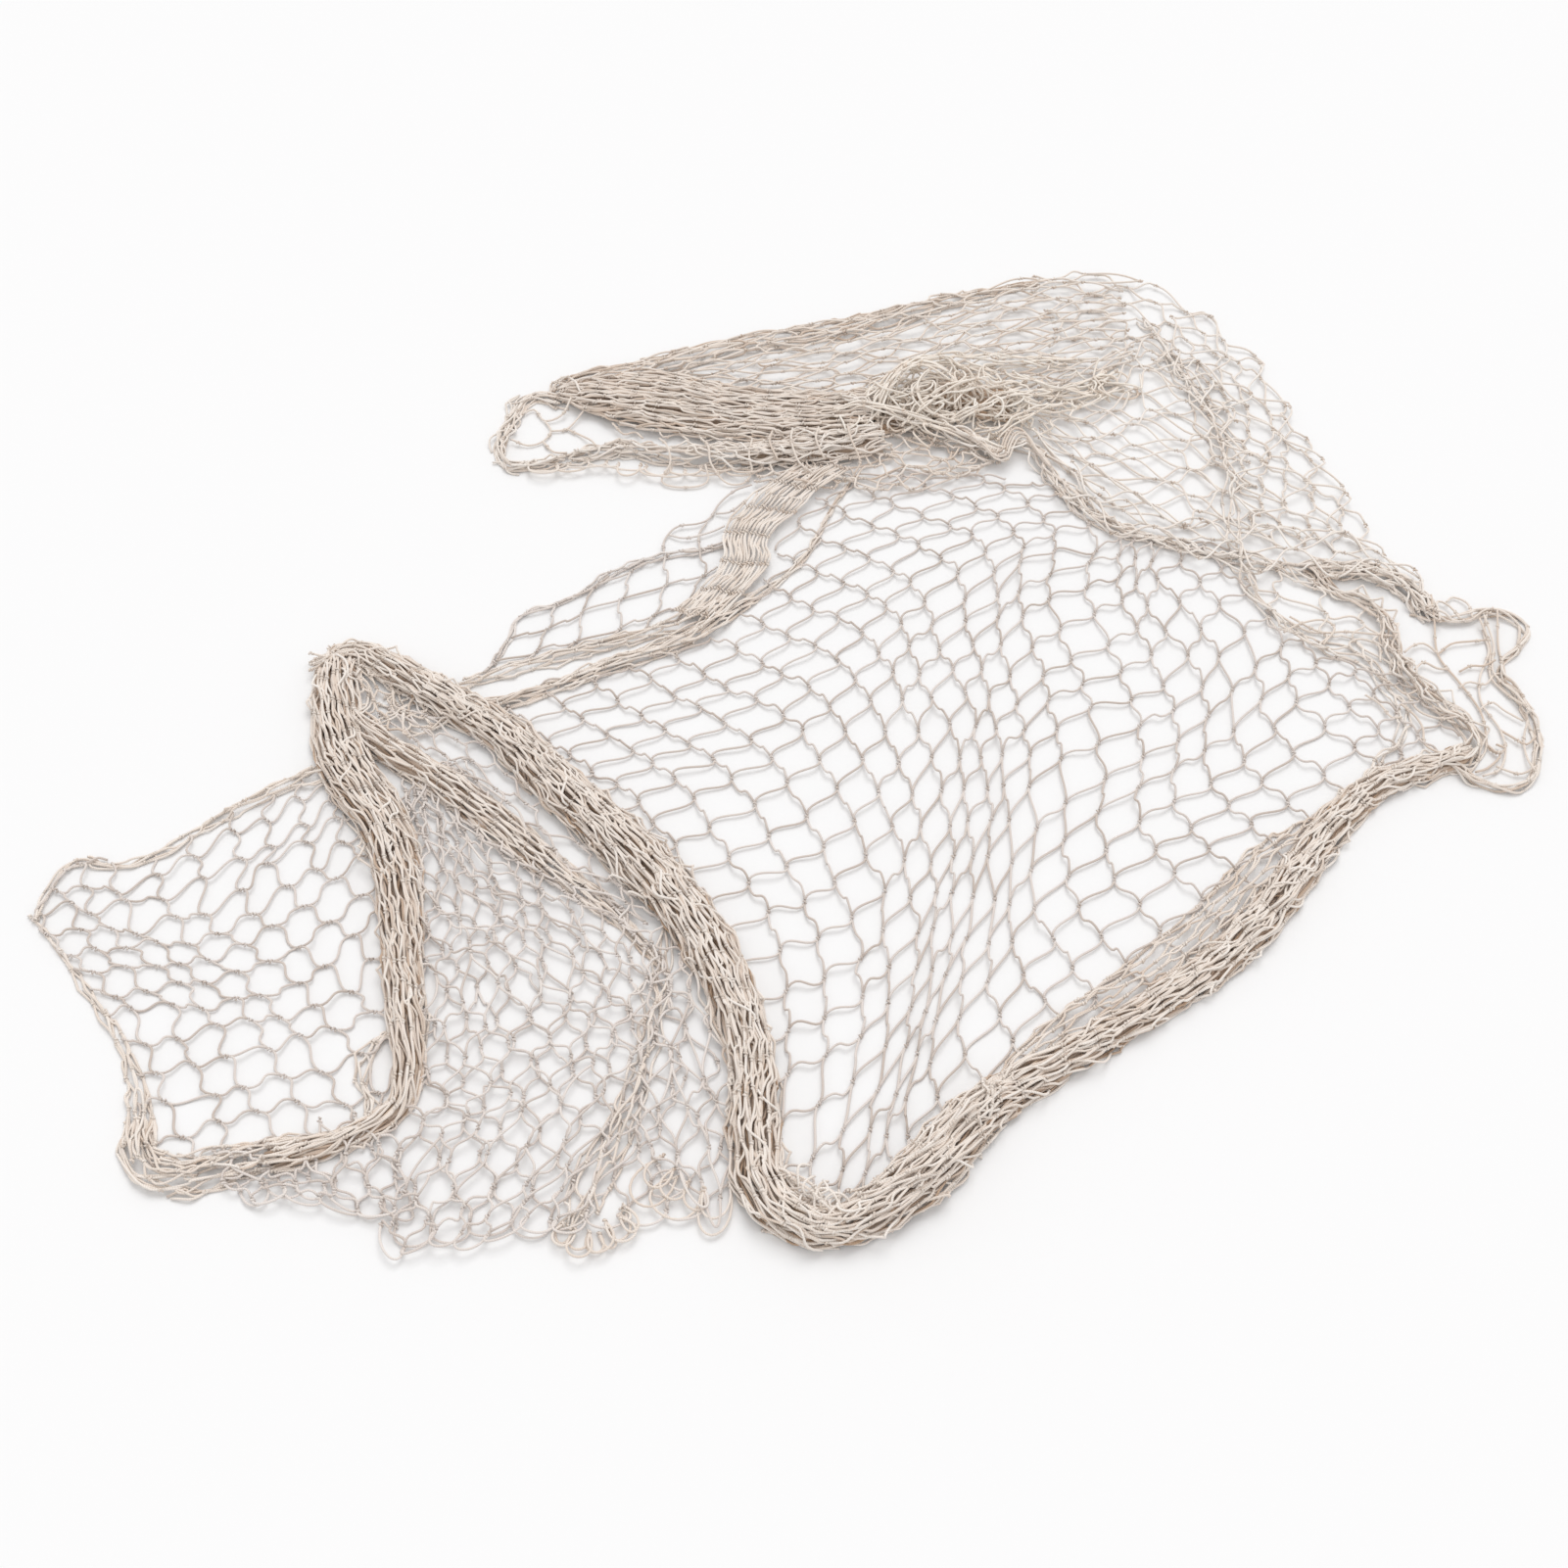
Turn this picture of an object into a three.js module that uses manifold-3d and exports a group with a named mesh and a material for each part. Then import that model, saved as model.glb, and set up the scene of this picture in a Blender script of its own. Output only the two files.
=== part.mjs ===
// Decorative fishing net: one piece of knotted cotton netting, spread loosely on a surface and partly
// gathered into rope-like folds. The solid is the outer form of the netting: low sheets where the meshes
// lie open, rounded ridges where they are drawn together, and the largest gaps left open.
// X runs along the longest side of the spread, Y across it, Z is up, and the net rests on z = 0.

import * as THREE from "three";
import { mergeVertices } from "three/addons/utils/BufferGeometryUtils.js";
import Module from "manifold-3d";

// Driving dimensions, in millimetres.
const KNOT_PITCH = 28; // from one knot to the next along a bar of twine
const SHEET_LOW = 2.5; // height of the open netting where it lies closest
const SHEET_RISE = 2.2; // how much its slack lifts it above that
const RIPPLE_LENGTH = 95; // from crest to crest of the slack
const RIPPLE_SKEW = 0.35; // how far the crests lean away from the two axes
const SECTION_STEP = 25; // distance between cross sections of a sheet
const ROWS_ACROSS = 8; // cells across a sheet
const FOLD_STEP = SECTION_STEP; // distance between cross sections of a fold
const FOLD_FACETS = 6; // facets over the back of a fold
const FOLD_SHOULDER = 0.28; // height of a fold's sides, as a share of its full height
const FOLD_NOSE = 0.35; // share of its size that a fold keeps at its ends
const NOSE_LENGTH = 0.11; // share of a fold's run over which it comes down to that
const PUCKER = 0.12; // how unevenly a fold swells and sinks, as a share of its height
const PUCKER_LENGTH = 55; // from one swelling of a fold to the next
const EDGE_HEIGHT = 3; // height of the half-mesh loops along a free edge
const LOOP_RADIUS = 0.4 * KNOT_PITCH; // half-meshes that stand out along a free edge
const OVAL_SIDES = 10; // facets round a loop or a gap
const CUT_MARGIN = 15; // how far a cut runs past the faces

const COLOUR = 0xcdbca6; // undyed cotton
const ROUGHNESS = 0.9;

// Open netting, as sections along X: the front edge and the back edge of the netting at each x.
// Main spread, from the left corner over the fan to the right corner.
const MAIN_SPREAD = [
  // x, front, back
  [-438, -104, -96],
  [-426, -114, -60],
  [-408, -130, -57],
  [-388, -158, -62],
  [-372, -185, -50],
  [-357, -240, -38],
  [-344, -258, -28],
  [-320, -268, -12],
  [-290, -270, 6],
  [-284, -270, 60],
  [-274, -270, 100],
  [-258, -270, 102],
  [-232, -276, 90],
  [-208, -288, 76],
  [-190, -292, 88],
  [-168, -292, 128],
  [-138, -292, 148],
  [-112, -292, 164],
  [-86, -280, 178],
  [-68, -268, 200],
  [-44, -276, 222],
  [-24, -280, 240],
  [6, -288, 256],
  [40, -290, 262],
  [78, -272, 262],
  [104, -250, 264],
  [128, -216, 266],
  [160, -190, 270],
  [200, -164, 255],
  [242, -134, 225],
  [286, -94, 210],
  [322, -54, 196],
  [356, -18, 190],
  [386, -4, 184],
  [414, 2, 166],
  [440, 2, 140],
  [458, 14, 132],
];
// Upper wing, which lies back over the main spread and past it.
const UPPER_WING = [
  // x, front, back
  [-166, 288, 330],
  [-150, 272, 350],
  [-122, 268, 360],
  [-98, 264, 369],
  [-66, 262, 381],
  [-32, 258, 394],
  [6, 248, 403],
  [46, 240, 411],
  [86, 240, 426],
  [122, 236, 442],
  [160, 232, 453],
  [196, 220, 461],
  [226, 206, 466],
  [252, 200, 464],
  [280, 190, 448],
  [304, 184, 426],
  [326, 180, 396],
  [342, 176, 364],
  [354, 174, 322],
  [368, 172, 272],
  [384, 170, 224],
  [402, 168, 196],
];

// Gathered folds, each as sections along its own run. width is what the fold covers on the surface.
const FOLDS = {
  leftRope: [
    // x, y, width, height
    [-284, 98, 30, 9],
    [-286, 72, 34, 14],
    [-277, 34, 36, 17],
    [-264, 0, 36, 18],
    [-244, -28, 34, 17],
    [-231, -58, 30, 16],
    [-223, -96, 27, 16],
    [-216, -146, 23, 16],
    [-209, -190, 20, 14],
    [-206, -216, 17, 11],
    [-222, -232, 16, 10],
    [-248, -242, 16, 10],
    [-290, -246, 17, 10],
    [-324, -258, 20, 9],
    [-344, -252, 16, 9],
    [-350, -222, 13, 8],
    [-364, -186, 12, 7],
    [-386, -156, 9, 6],
    [-412, -124, 6, 5],
    [-434, -102, 6, 4],
  ],
  sideLoop: [
    [-220, -166, 9, 6],
    [-234, -186, 8, 6],
    [-230, -206, 8, 6],
    [-222, -224, 9, 7],
  ],
  leftSelvage: [
    [-434, -102, 5, 4],
    [-426, -64, 5, 4],
    [-412, -56, 6, 4],
    [-392, -62, 6, 4],
    [-372, -50, 7, 4],
    [-340, -26, 8, 5],
    [-306, -3, 11, 6],
    [-282, 8, 14, 8],
  ],
  frontRope: [
    [-296, 92, 20, 8],
    [-273, 101, 24, 11],
    [-244, 86, 28, 14],
    [-216, 68, 32, 16],
    [-172, 38, 33, 17],
    [-130, -6, 33, 18],
    [-90, -46, 34, 19],
    [-54, -94, 33, 19],
    [-31, -142, 30, 18],
    [-16, -192, 27, 17],
    [-13, -240, 27, 17],
    [-4, -274, 30, 18],
    [22, -286, 32, 20],
    [52, -279, 38, 22],
    [82, -255, 44, 24],
    [108, -227, 37, 20],
    [134, -204, 28, 16],
    [176, -178, 26, 14],
    [212, -152, 30, 15],
    [246, -132, 32, 15],
    [280, -102, 33, 15],
    [310, -71, 31, 14],
    [342, -30, 29, 13],
    [372, -4, 24, 11],
    [400, 11, 20, 10],
    [424, 24, 15, 9],
    [429, 46, 13, 9],
    [410, 72, 15, 9],
    [396, 104, 14, 9],
    [388, 134, 13, 8],
    [362, 152, 12, 8],
    [346, 176, 12, 8],
  ],
  looseBranch: [
    [178, -134, 20, 7],
    [208, -112, 20, 8],
    [258, -83, 22, 10],
    [296, -50, 22, 11],
    [334, -20, 20, 11],
  ],
  middleRope: [
    [-266, 40, 22, 14],
    [-242, 20, 22, 13],
    [-217, 8, 22, 12],
    [-178, -25, 21, 12],
    [-141, -62, 20, 10],
    [-116, -82, 16, 7],
    [-84, -110, 12, 5],
  ],
  upperStrands: [
    [-204, 74, 9, 5],
    [-157, 91, 9, 5],
    [-104, 109, 9, 6],
    [-52, 128, 12, 7],
  ],
  lowerStrands: [
    [-190, 60, 11, 6],
    [-150, 76, 11, 6],
    [-100, 102, 12, 7],
    [-48, 122, 18, 8],
  ],
  pleatedStrip: [
    [-54, 123, 18, 7],
    [-36, 148, 30, 9],
    [-20, 182, 32, 9],
    [-10, 208, 33, 10],
    [12, 234, 36, 12],
    [32, 256, 30, 12],
  ],
  wingTopEdge: [
    [-160, 348, 10, 6],
    [-98, 368, 9, 5],
    [-34, 393, 8, 5],
    [48, 411, 8, 5],
    [120, 440, 8, 5],
    [190, 458, 8, 5],
    [236, 466, 8, 5],
    [282, 446, 7, 5],
    [322, 402, 6, 4],
    [342, 366, 5, 4],
  ],
  wingHeart: [
    [-158, 340, 22, 10],
    [-130, 336, 38, 13],
    [-90, 330, 56, 13],
    [-40, 330, 66, 12],
    [20, 328, 54, 12],
    [70, 316, 34, 14],
  ],
  wingLoop: [
    [-150, 342, 9, 7],
    [-186, 334, 9, 6],
    [-192, 306, 9, 6],
    [-196, 278, 10, 7],
    [-180, 268, 10, 7],
    [-152, 272, 12, 8],
    [-112, 286, 15, 10],
    [-76, 276, 18, 11],
    [-30, 274, 22, 12],
    [20, 280, 28, 15],
    [66, 288, 34, 17],
  ],
  tangle: [
    [36, 306, 32, 12],
    [66, 310, 44, 20],
    [98, 322, 56, 26],
    [128, 330, 54, 24],
    [162, 322, 50, 19],
    [200, 334, 40, 16],
    [236, 350, 26, 11],
  ],
  tangleFront: [
    [60, 282, 26, 14],
    [100, 276, 30, 15],
    [140, 268, 26, 14],
    [168, 282, 20, 12],
    [184, 258, 16, 11],
    [206, 222, 15, 10],
    [226, 205, 15, 9],
    [262, 198, 13, 8],
    [300, 183, 15, 9],
    [352, 176, 17, 10],
    [402, 174, 17, 10],
    [416, 152, 13, 9],
    [422, 128, 12, 8],
    [446, 130, 11, 8],
    [470, 131, 8, 6],
    [477, 114, 7, 5],
    [462, 92, 7, 5],
    [459, 72, 8, 5],
    [465, 48, 6, 5],
    [463, 18, 6, 5],
    [452, -1, 7, 5],
    [430, 1, 8, 6],
    [408, 12, 10, 7],
  ],
  backFold: [
    [250, 416, 14, 8],
    [280, 376, 14, 8],
    [296, 322, 15, 9],
    [309, 276, 17, 9],
    [307, 214, 20, 10],
    [308, 156, 15, 9],
    [328, 116, 14, 8],
    [358, 103, 9, 6],
    [378, 84, 8, 5],
    [390, 52, 7, 5],
    [374, 26, 8, 5],
    [358, 4, 8, 6],
  ],
  closedBand: [
    [158, 205, 10, 4],
    [114, 165, 9, 4],
    [112, 90, 16, 4],
    [116, 0, 44, 5],
    [92, -100, 42, 5],
    [67, -200, 22, 5],
    [48, -256, 14, 6],
  ],
  frontGathers: [
    [-62, -120, 12, 6],
    [-66, -170, 16, 6],
    [-78, -226, 22, 7],
    [-98, -256, 26, 8],
    [-100, -288, 16, 6],
  ],
};

// Free edges where half-meshes stand out as loops: the run of the edge and how many loops it holds.
const LOOPED_EDGES = [
  // fromX, fromY, toX, toY, loops
  [-288, -266, -232, -272, 3],
  [-214, -286, -122, -290, 4],
  [-82, -272, -38, -280, 2],
  [340, 362, 360, 308, 3],
  [362, 280, 388, 216, 3],
];

// Largest gaps that show the surface underneath, each an oval: its centre, length, width and turn.
const LARGEST_GAPS = [
  // x, y, length, width, turnDeg
  [-171, 303, 30, 22, 70],
  [-224, -196, 20, 9, 80],
  [364, 130, 32, 24, 20],
  [410, 137, 24, 16, 70],
  [440, 108, 28, 22, 0],
  [437, 76, 26, 22, 100],
  [448, 30, 30, 22, 80],
  [396, 34, 26, 14, 20],
  [330, 150, 26, 20, 60],
  [346, 72, 28, 20, 10],
];

const wasm = await Module();
wasm.setup();

// A solid of manifold-3d from a closed three.js geometry.
function solidOf(geometry) {
  const bare = geometry.clone();
  bare.deleteAttribute("normal");
  bare.deleteAttribute("uv");
  const merged = mergeVertices(bare, 1e-3);
  return new wasm.Manifold(
    new wasm.Mesh({
      numProp: 3,
      vertProperties: new Float32Array(merged.attributes.position.array),
      triVerts: new Uint32Array(merged.index.array),
    }),
  );
}

// The three.js geometry of a solid.
function geometryOf(solid) {
  const mesh = solid.getMesh();
  return new THREE.BufferGeometry()
    .setAttribute(
      "position",
      new THREE.BufferAttribute(Float32Array.from(mesh.vertProperties), 3),
    )
    .setIndex(new THREE.BufferAttribute(Uint32Array.from(mesh.triVerts), 1));
}

// Closed surface over a grid of points: the rings run one after another, each closed on itself, and the
// first and last are capped by a fan.
function closedRings(rings) {
  const size = rings[0].length;
  const points = rings.flat();
  const faces = [];
  for (let r = 0; r + 1 < rings.length; r++)
    for (let k = 0; k < size; k++) {
      const a = r * size + k,
        b = r * size + ((k + 1) % size),
        c = a + size,
        d = b + size;
      faces.push(a, b, d, a, d, c);
    }
  for (let k = 1; k + 1 < size; k++) {
    const last = (rings.length - 1) * size;
    faces.push(0, k + 1, k, last, last + k, last + k + 1);
  }
  return new THREE.BufferGeometry()
    .setAttribute("position", new THREE.Float32BufferAttribute(points.flat(), 3))
    .setIndex(faces);
}

// Rows of a table, resampled along a smooth curve through them about every `step` along the first two columns.
function resample(rows, step) {
  const place = new THREE.CatmullRomCurve3(
    rows.map(([x, y]) => new THREE.Vector3(x, y, 0)),
    false,
    "centripetal",
  );
  const count = Math.max(3, Math.round(place.getLength() / step));
  return Array.from({ length: count + 1 }, (_, i) => {
    const t = place.getUtoTmapping(i / count);
    const at = Math.min(t * (rows.length - 1), rows.length - 1 - 1e-9);
    const k = Math.floor(at),
      part = at - k;
    const p = place.getPoint(t),
      along = place.getTangent(t);
    const rest = rows[k].slice(2).map((v, j) => v + (rows[k + 1][j + 2] - v) * part);
    return { x: p.x, y: p.y, along, share: i / count, rest };
  });
}

// Height of open netting: two crossing waves of slack, a little out of step.
function slackHeight(x, y) {
  const k = (2 * Math.PI) / RIPPLE_LENGTH;
  const wave = Math.sin(k * (x + RIPPLE_SKEW * y)) + Math.sin(k * (y - RIPPLE_SKEW * x));
  return SHEET_LOW + (SHEET_RISE * (wave + 2)) / 4;
}

// Open netting between a front and a back edge: a flat underside and a wavy top.
function openSheet(rows) {
  const edges = rows.map(([x, front, back]) => ({ x, front, back }));
  const stations = [];
  edges.forEach((e, i) => {
    stations.push(e);
    const next = edges[i + 1];
    if (!next) return;
    const parts = Math.max(1, Math.round((next.x - e.x) / SECTION_STEP));
    for (let p = 1; p < parts; p++) {
      const t = p / parts;
      stations.push({
        x: e.x + (next.x - e.x) * t,
        front: e.front + (next.front - e.front) * t,
        back: e.back + (next.back - e.back) * t,
      });
    }
  });
  return closedRings(
    stations.map(({ x, front, back }) => {
      const ring = [];
      for (let r = 0; r <= ROWS_ACROSS; r++) {
        const y = back + ((front - back) * r) / ROWS_ACROSS;
        ring.push([x, y, slackHeight(x, y)]);
      }
      ring.push([x, front, 0], [x, back, 0]);
      return ring;
    }),
  );
}

// A gathered fold: a half-round section on the surface, swept along the fold's run, uneven along it.
function gatheredFold(rows) {
  return closedRings(
    resample(rows, FOLD_STEP).map(({ x, y, along, share, rest: [width, height] }) => {
      const toEnd = Math.min(1, Math.min(share, 1 - share) / NOSE_LENGTH);
      const nose = FOLD_NOSE + (1 - FOLD_NOSE) * toEnd;
      const swell = 1 + PUCKER * Math.sin((2 * Math.PI * (x + y)) / PUCKER_LENGTH);
      const ring = [];
      for (let k = 0; k <= FOLD_FACETS; k++) {
        const turn = (Math.PI * k) / FOLD_FACETS;
        const side = 0.5 * width * nose * Math.cos(turn);
        ring.push([
          x - along.y * side,
          y + along.x * side,
          height * nose * swell * (FOLD_SHOULDER + (1 - FOLD_SHOULDER) * Math.sin(turn)),
        ]);
      }
      const edge = 0.5 * width * nose;
      ring.push([x + along.y * edge, y - along.x * edge, 0]);
      ring.push([x - along.y * edge, y + along.x * edge, 0]);
      return ring;
    }),
  );
}

// An upright prism with a round or oval outline, from z = low to z = high.
function ovalPrism(x, y, length, width, turnDeg, low, high) {
  return new THREE.CylinderGeometry(1, 1, high - low, OVAL_SIDES)
    .rotateX(Math.PI / 2)
    .scale(length / 2, width / 2, 1)
    .rotateZ(THREE.MathUtils.degToRad(turnDeg))
    .translate(x, y, (low + high) / 2);
}

let netting = solidOf(openSheet(MAIN_SPREAD)).add(solidOf(openSheet(UPPER_WING)));

for (const [fromX, fromY, toX, toY, loops] of LOOPED_EDGES)
  for (let i = 0; i < loops; i++) {
    const t = loops > 1 ? i / (loops - 1) : 0.5;
    const x = fromX + (toX - fromX) * t,
      y = fromY + (toY - fromY) * t;
    netting = netting.add(
      solidOf(ovalPrism(x, y, 2 * LOOP_RADIUS, 2 * LOOP_RADIUS, 0, 0, EDGE_HEIGHT)),
    );
  }

for (const [x, y, length, width, turnDeg] of LARGEST_GAPS)
  netting = netting.subtract(
    solidOf(ovalPrism(x, y, length, width, turnDeg, -CUT_MARGIN, CUT_MARGIN)),
  );

for (const rows of Object.values(FOLDS)) netting = netting.add(solidOf(gatheredFold(rows)));

// The frame's origin is under the middle of the spread.
const spread = geometryOf(netting);
spread.computeBoundingBox();
const middle = spread.boundingBox.getCenter(new THREE.Vector3());
spread.translate(-middle.x, -middle.y, -spread.boundingBox.min.z);
spread.computeVertexNormals();

const net = new THREE.Mesh(
  spread,
  new THREE.MeshStandardMaterial({ color: COLOUR, roughness: ROUGHNESS, metalness: 0 }),
);
net.name = "netting";

const part = new THREE.Group();
part.name = "decorative_fishing_net";
part.add(net);

export default part;
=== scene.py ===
import bpy
import numpy as np
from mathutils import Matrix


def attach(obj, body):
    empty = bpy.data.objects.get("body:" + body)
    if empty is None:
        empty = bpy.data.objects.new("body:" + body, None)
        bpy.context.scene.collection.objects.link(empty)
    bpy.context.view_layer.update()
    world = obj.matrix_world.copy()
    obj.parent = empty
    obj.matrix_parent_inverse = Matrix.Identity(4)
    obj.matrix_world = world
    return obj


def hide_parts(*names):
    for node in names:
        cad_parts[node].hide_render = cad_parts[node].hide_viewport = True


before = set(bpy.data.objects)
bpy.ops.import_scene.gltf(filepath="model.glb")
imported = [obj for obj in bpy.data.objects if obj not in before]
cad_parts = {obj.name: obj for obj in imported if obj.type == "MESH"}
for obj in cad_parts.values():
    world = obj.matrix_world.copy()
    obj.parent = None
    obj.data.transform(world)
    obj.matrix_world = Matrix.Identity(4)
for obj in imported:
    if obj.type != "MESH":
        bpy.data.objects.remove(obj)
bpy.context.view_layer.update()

# ------------------------------------------------------------
# The fan: a single open layer of the net, from the long front fold out to the right corner. It is undyed
# two-ply cotton twine, knotted into diamond meshes of 28 mm bars, and lies loose on the floor. Sizes are in
# millimetres from the lay-out's own origin; every piece is moved back by MIDDLE, the middle of the spread.
MM = 0.001
MIDDLE = np.array([21.13, 83.36, 0.0])
RADIUS = 1.5 / 2  # of the twine
BAR = 28.0  # of twine, from knot to knot


def unit(v):
    """Each vector over its own length."""
    return v / np.maximum(np.linalg.norm(v, axis=-1, keepdims=True), 1e-9)


def turned(way, angle, rise=0.0):
    """Directions turned about the upright axis, x cos - y sin and x sin + y cos, with a new rise."""
    c, s = np.cos(angle), np.sin(angle)
    return np.c_[way[:, 0] * c - way[:, 1] * s, way[:, 0] * s + way[:, 1] * c, rise + 0 * angle]


SHORTEST_HANDLE = 0.95
HALVINGS = 10
LIFT_POWER = 1.3


def bent_bars(start, end, leave, arrive, length, lift, points=9, longest=3.2):
    """Bars of twine between knots: cubic curves that leave along leave and arrive along arrive. Their
    handles, as shares of the chord, are found by halving the range until each curve is as long as its bar,
    and a power of a half sine lifts the middle off the surface."""
    t = np.linspace(0, 1, points)[None, :, None]
    chord = np.linalg.norm(end - start, axis=1)[:, None, None]
    h0 = 2 * t**3 - 3 * t**2 + 1
    h1 = t**3 - 2 * t**2 + t
    h3 = t**3 - t**2
    low = np.full_like(chord, SHORTEST_HANDLE)
    high = np.full_like(chord, longest)
    want = np.asarray(length, float)[:, None, None]
    for _ in range(HALVINGS):
        handle = 0.5 * (low + high)
        path = h0 * start[:, None] + (1 - h0) * end[:, None]
        path = path + handle * chord * (h1 * leave[:, None] + h3 * arrive[:, None])
        run = np.linalg.norm(np.diff(path, axis=1), axis=2).sum(1)[:, None, None]
        high = np.where(run > want, handle, high)
        low = np.where(run > want, low, handle)
    path[..., 2] += np.asarray(lift)[:, None] * np.sin(np.pi * t[..., 0]) ** LIFT_POWER
    path[..., 2] = np.maximum(path[..., 2], RADIUS)
    return path


class Strands:
    """Collects tubes of twine, draws their seeded unevenness, and turns them into one mesh."""

    def __init__(self, seed):
        self.rng = np.random.default_rng(seed)
        self.rings, self.tones, self.runs = [], [], []

    def add(self, paths, tone, radius=RADIUS, sides=6):
        """Tubes along paths, which is (tubes, points, 3): a ring of sides at each point, square to its path,
        whose first side is carried from ring to ring without turning."""
        paths = np.asarray(paths, float)
        ahead = unit(np.gradient(paths, axis=1))
        side = unit(np.cross(ahead[:, 0], np.array([0.13, 0.07, 1.0])))
        sides_at = np.empty_like(paths)
        for k in range(paths.shape[1]):
            side = unit(side - (side * ahead[:, k]).sum(-1, keepdims=True) * ahead[:, k])
            sides_at[:, k] = side
        up = np.cross(sides_at, ahead)
        angle = np.arange(sides) * 2 * np.pi / sides
        ring = paths[:, :, None] + radius * (
            np.cos(angle)[:, None] * sides_at[:, :, None] + np.sin(angle)[:, None] * up[:, :, None]
        )
        step = np.linalg.norm(np.diff(paths, axis=1), axis=2)
        run = np.concatenate([np.zeros((len(paths), 1)), np.cumsum(step, axis=1)], axis=1)
        # The tone holds each strand's random tone together with painted shade and painted light by layer.
        shade = np.broadcast_to(np.asarray(tone, float).reshape(-1, 1), paths.shape[:2])
        self.rings.append(ring)
        self.runs.append(run)
        self.tones.append(shade)

    def build(self, name):
        """One mesh of all the tubes, closed at both ends, with its UV in millimetres along the twine and
        turns round it, and its tone as an attribute: partly random, partly painted light and shade,
        darker on lower layers and paler on upper ones."""
        verts, loops, starts, uvs, tones = [], [], [], [], []
        base = first = 0
        for ring, run, tone in zip(self.rings, self.runs, self.tones):
            n, m, s = ring.shape[:3]
            grid = base + np.arange(n * m * s).reshape(n, m, s)
            around = np.roll(grid, -1, axis=2)
            quads = np.stack([grid[:, :-1], around[:, :-1], around[:, 1:], grid[:, 1:]], axis=-1)
            caps = np.concatenate([grid[:, 0, ::-1], grid[:, -1]], axis=0)
            turn = np.arange(s) / s
            u = np.broadcast_to(run[:, :, None], grid.shape)
            uq = np.stack([u[:, :-1], u[:, :-1], u[:, 1:], u[:, 1:]], axis=-1)
            v = np.stack([turn, turn + 1 / s, turn + 1 / s, turn], axis=-1)
            vq = np.broadcast_to(v, uq.shape)
            cap_u = np.concatenate([u[:, 0], u[:, -1]], axis=0)
            cap_v = np.broadcast_to(turn, cap_u.shape)
            verts.append(ring.reshape(-1, 3))
            tones.append(np.broadcast_to(tone[..., None], grid.shape).ravel())
            loops += [quads.ravel(), caps.ravel()]
            uvs += [
                np.stack([uq.ravel(), vq.ravel()], axis=1),
                np.stack([cap_u.ravel(), cap_v.ravel()], axis=1),
            ]
            count = quads.size // 4
            starts += [first + 4 * np.arange(count), first + 4 * count + s * np.arange(len(caps))]
            first += quads.size + caps.size
            base += grid.size
        co = (np.vstack(verts) - MIDDLE) * MM
        loops = np.concatenate(loops)
        starts = np.concatenate(starts)
        mesh = bpy.data.meshes.new(name)
        mesh.vertices.add(len(co))
        mesh.vertices.foreach_set("co", co.ravel())
        mesh.loops.add(len(loops))
        mesh.loops.foreach_set("vertex_index", loops.astype(np.int32))
        mesh.polygons.add(len(starts))
        mesh.polygons.foreach_set("loop_start", starts.astype(np.int32))
        mesh.update(calc_edges=True)
        layer = mesh.uv_layers.new(name="twine")
        layer.data.foreach_set("uv", np.vstack(uvs).ravel())
        shade = mesh.attributes.new("tone", "FLOAT", "POINT")
        shade.data.foreach_set("value", np.concatenate(tones).astype(np.float32))
        mesh.polygons.foreach_set("use_smooth", np.ones(len(starts), bool))
        mesh.update()
        obj = bpy.data.objects.new(name, mesh)
        bpy.context.scene.collection.objects.link(obj)
        return obj


KNOT_POINTS = 7
KNOT_TURNS = 1.4
KNOT_TURN = 0.95  # radius of the coil's middle line
KNOT_FLATNESS = 0.8
KNOT_LENGTH = 2.8
KNOT_RADIUS = 0.72  # of the twine, drawn tight
KNOT_SHADE = 0.06  # how much darker than the strands beside it


def add_knots(strands, at, along, tone):
    """Knots: twine wound nearly one and a half turns round the two strands that meet, as a short coil along
    them, of a cosine to the side and a flatter sine upwards."""
    rng = strands.rng
    turns = np.linspace(0, 1, KNOT_POINTS)[None, :, None]
    along = unit(along)
    side = unit(np.cross(along, np.array([0.0, 0.1, 1.0])))
    up = np.cross(side, along)
    phase = rng.uniform(0, 2 * np.pi, (len(at), 1, 1))
    size = rng.uniform(0.9, 1.12, (len(at), 1, 1))
    angle = phase + 2 * np.pi * KNOT_TURNS * turns
    path = at[:, None] + size * (
        KNOT_LENGTH * (turns - 0.5) * along[:, None]
        + KNOT_TURN * (np.cos(angle) * side[:, None] + KNOT_FLATNESS * np.sin(angle) * up[:, None])
    )
    path[..., 2] = np.maximum(path[..., 2], RADIUS)
    strands.add(path, np.clip(tone - KNOT_SHADE, 0, 1), radius=KNOT_RADIUS, sides=4)


PIN_GIVE = 0.05  # lets the sheet pass a little beside each pin


def pinned_sheet(pins):
    """The smoothest map from (row, column) in the netting to its place through the pins (row, column, x, y):
    a thin plate, which is r squared log r about each pin, and a plane."""
    pins = np.array(pins, float)
    at, place = pins[:, :2], pins[:, 2:]
    count = len(at)

    def bend(a):
        d2 = ((a[:, None] - at[None]) ** 2).sum(-1)
        return d2 * np.log(d2 + 1e-9)

    plane = np.c_[np.ones(count), at]
    system = np.zeros((count + 3, count + 3))
    system[:count, :count] = bend(at) + PIN_GIVE * np.eye(count)
    system[:count, count:] = plane
    system[count:, :count] = plane.T
    weights = np.linalg.solve(system, np.r_[place, np.zeros((3, 2))])
    return lambda q: bend(q) @ weights[:count] + np.c_[np.ones(len(q)), q] @ weights[count:]


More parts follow.
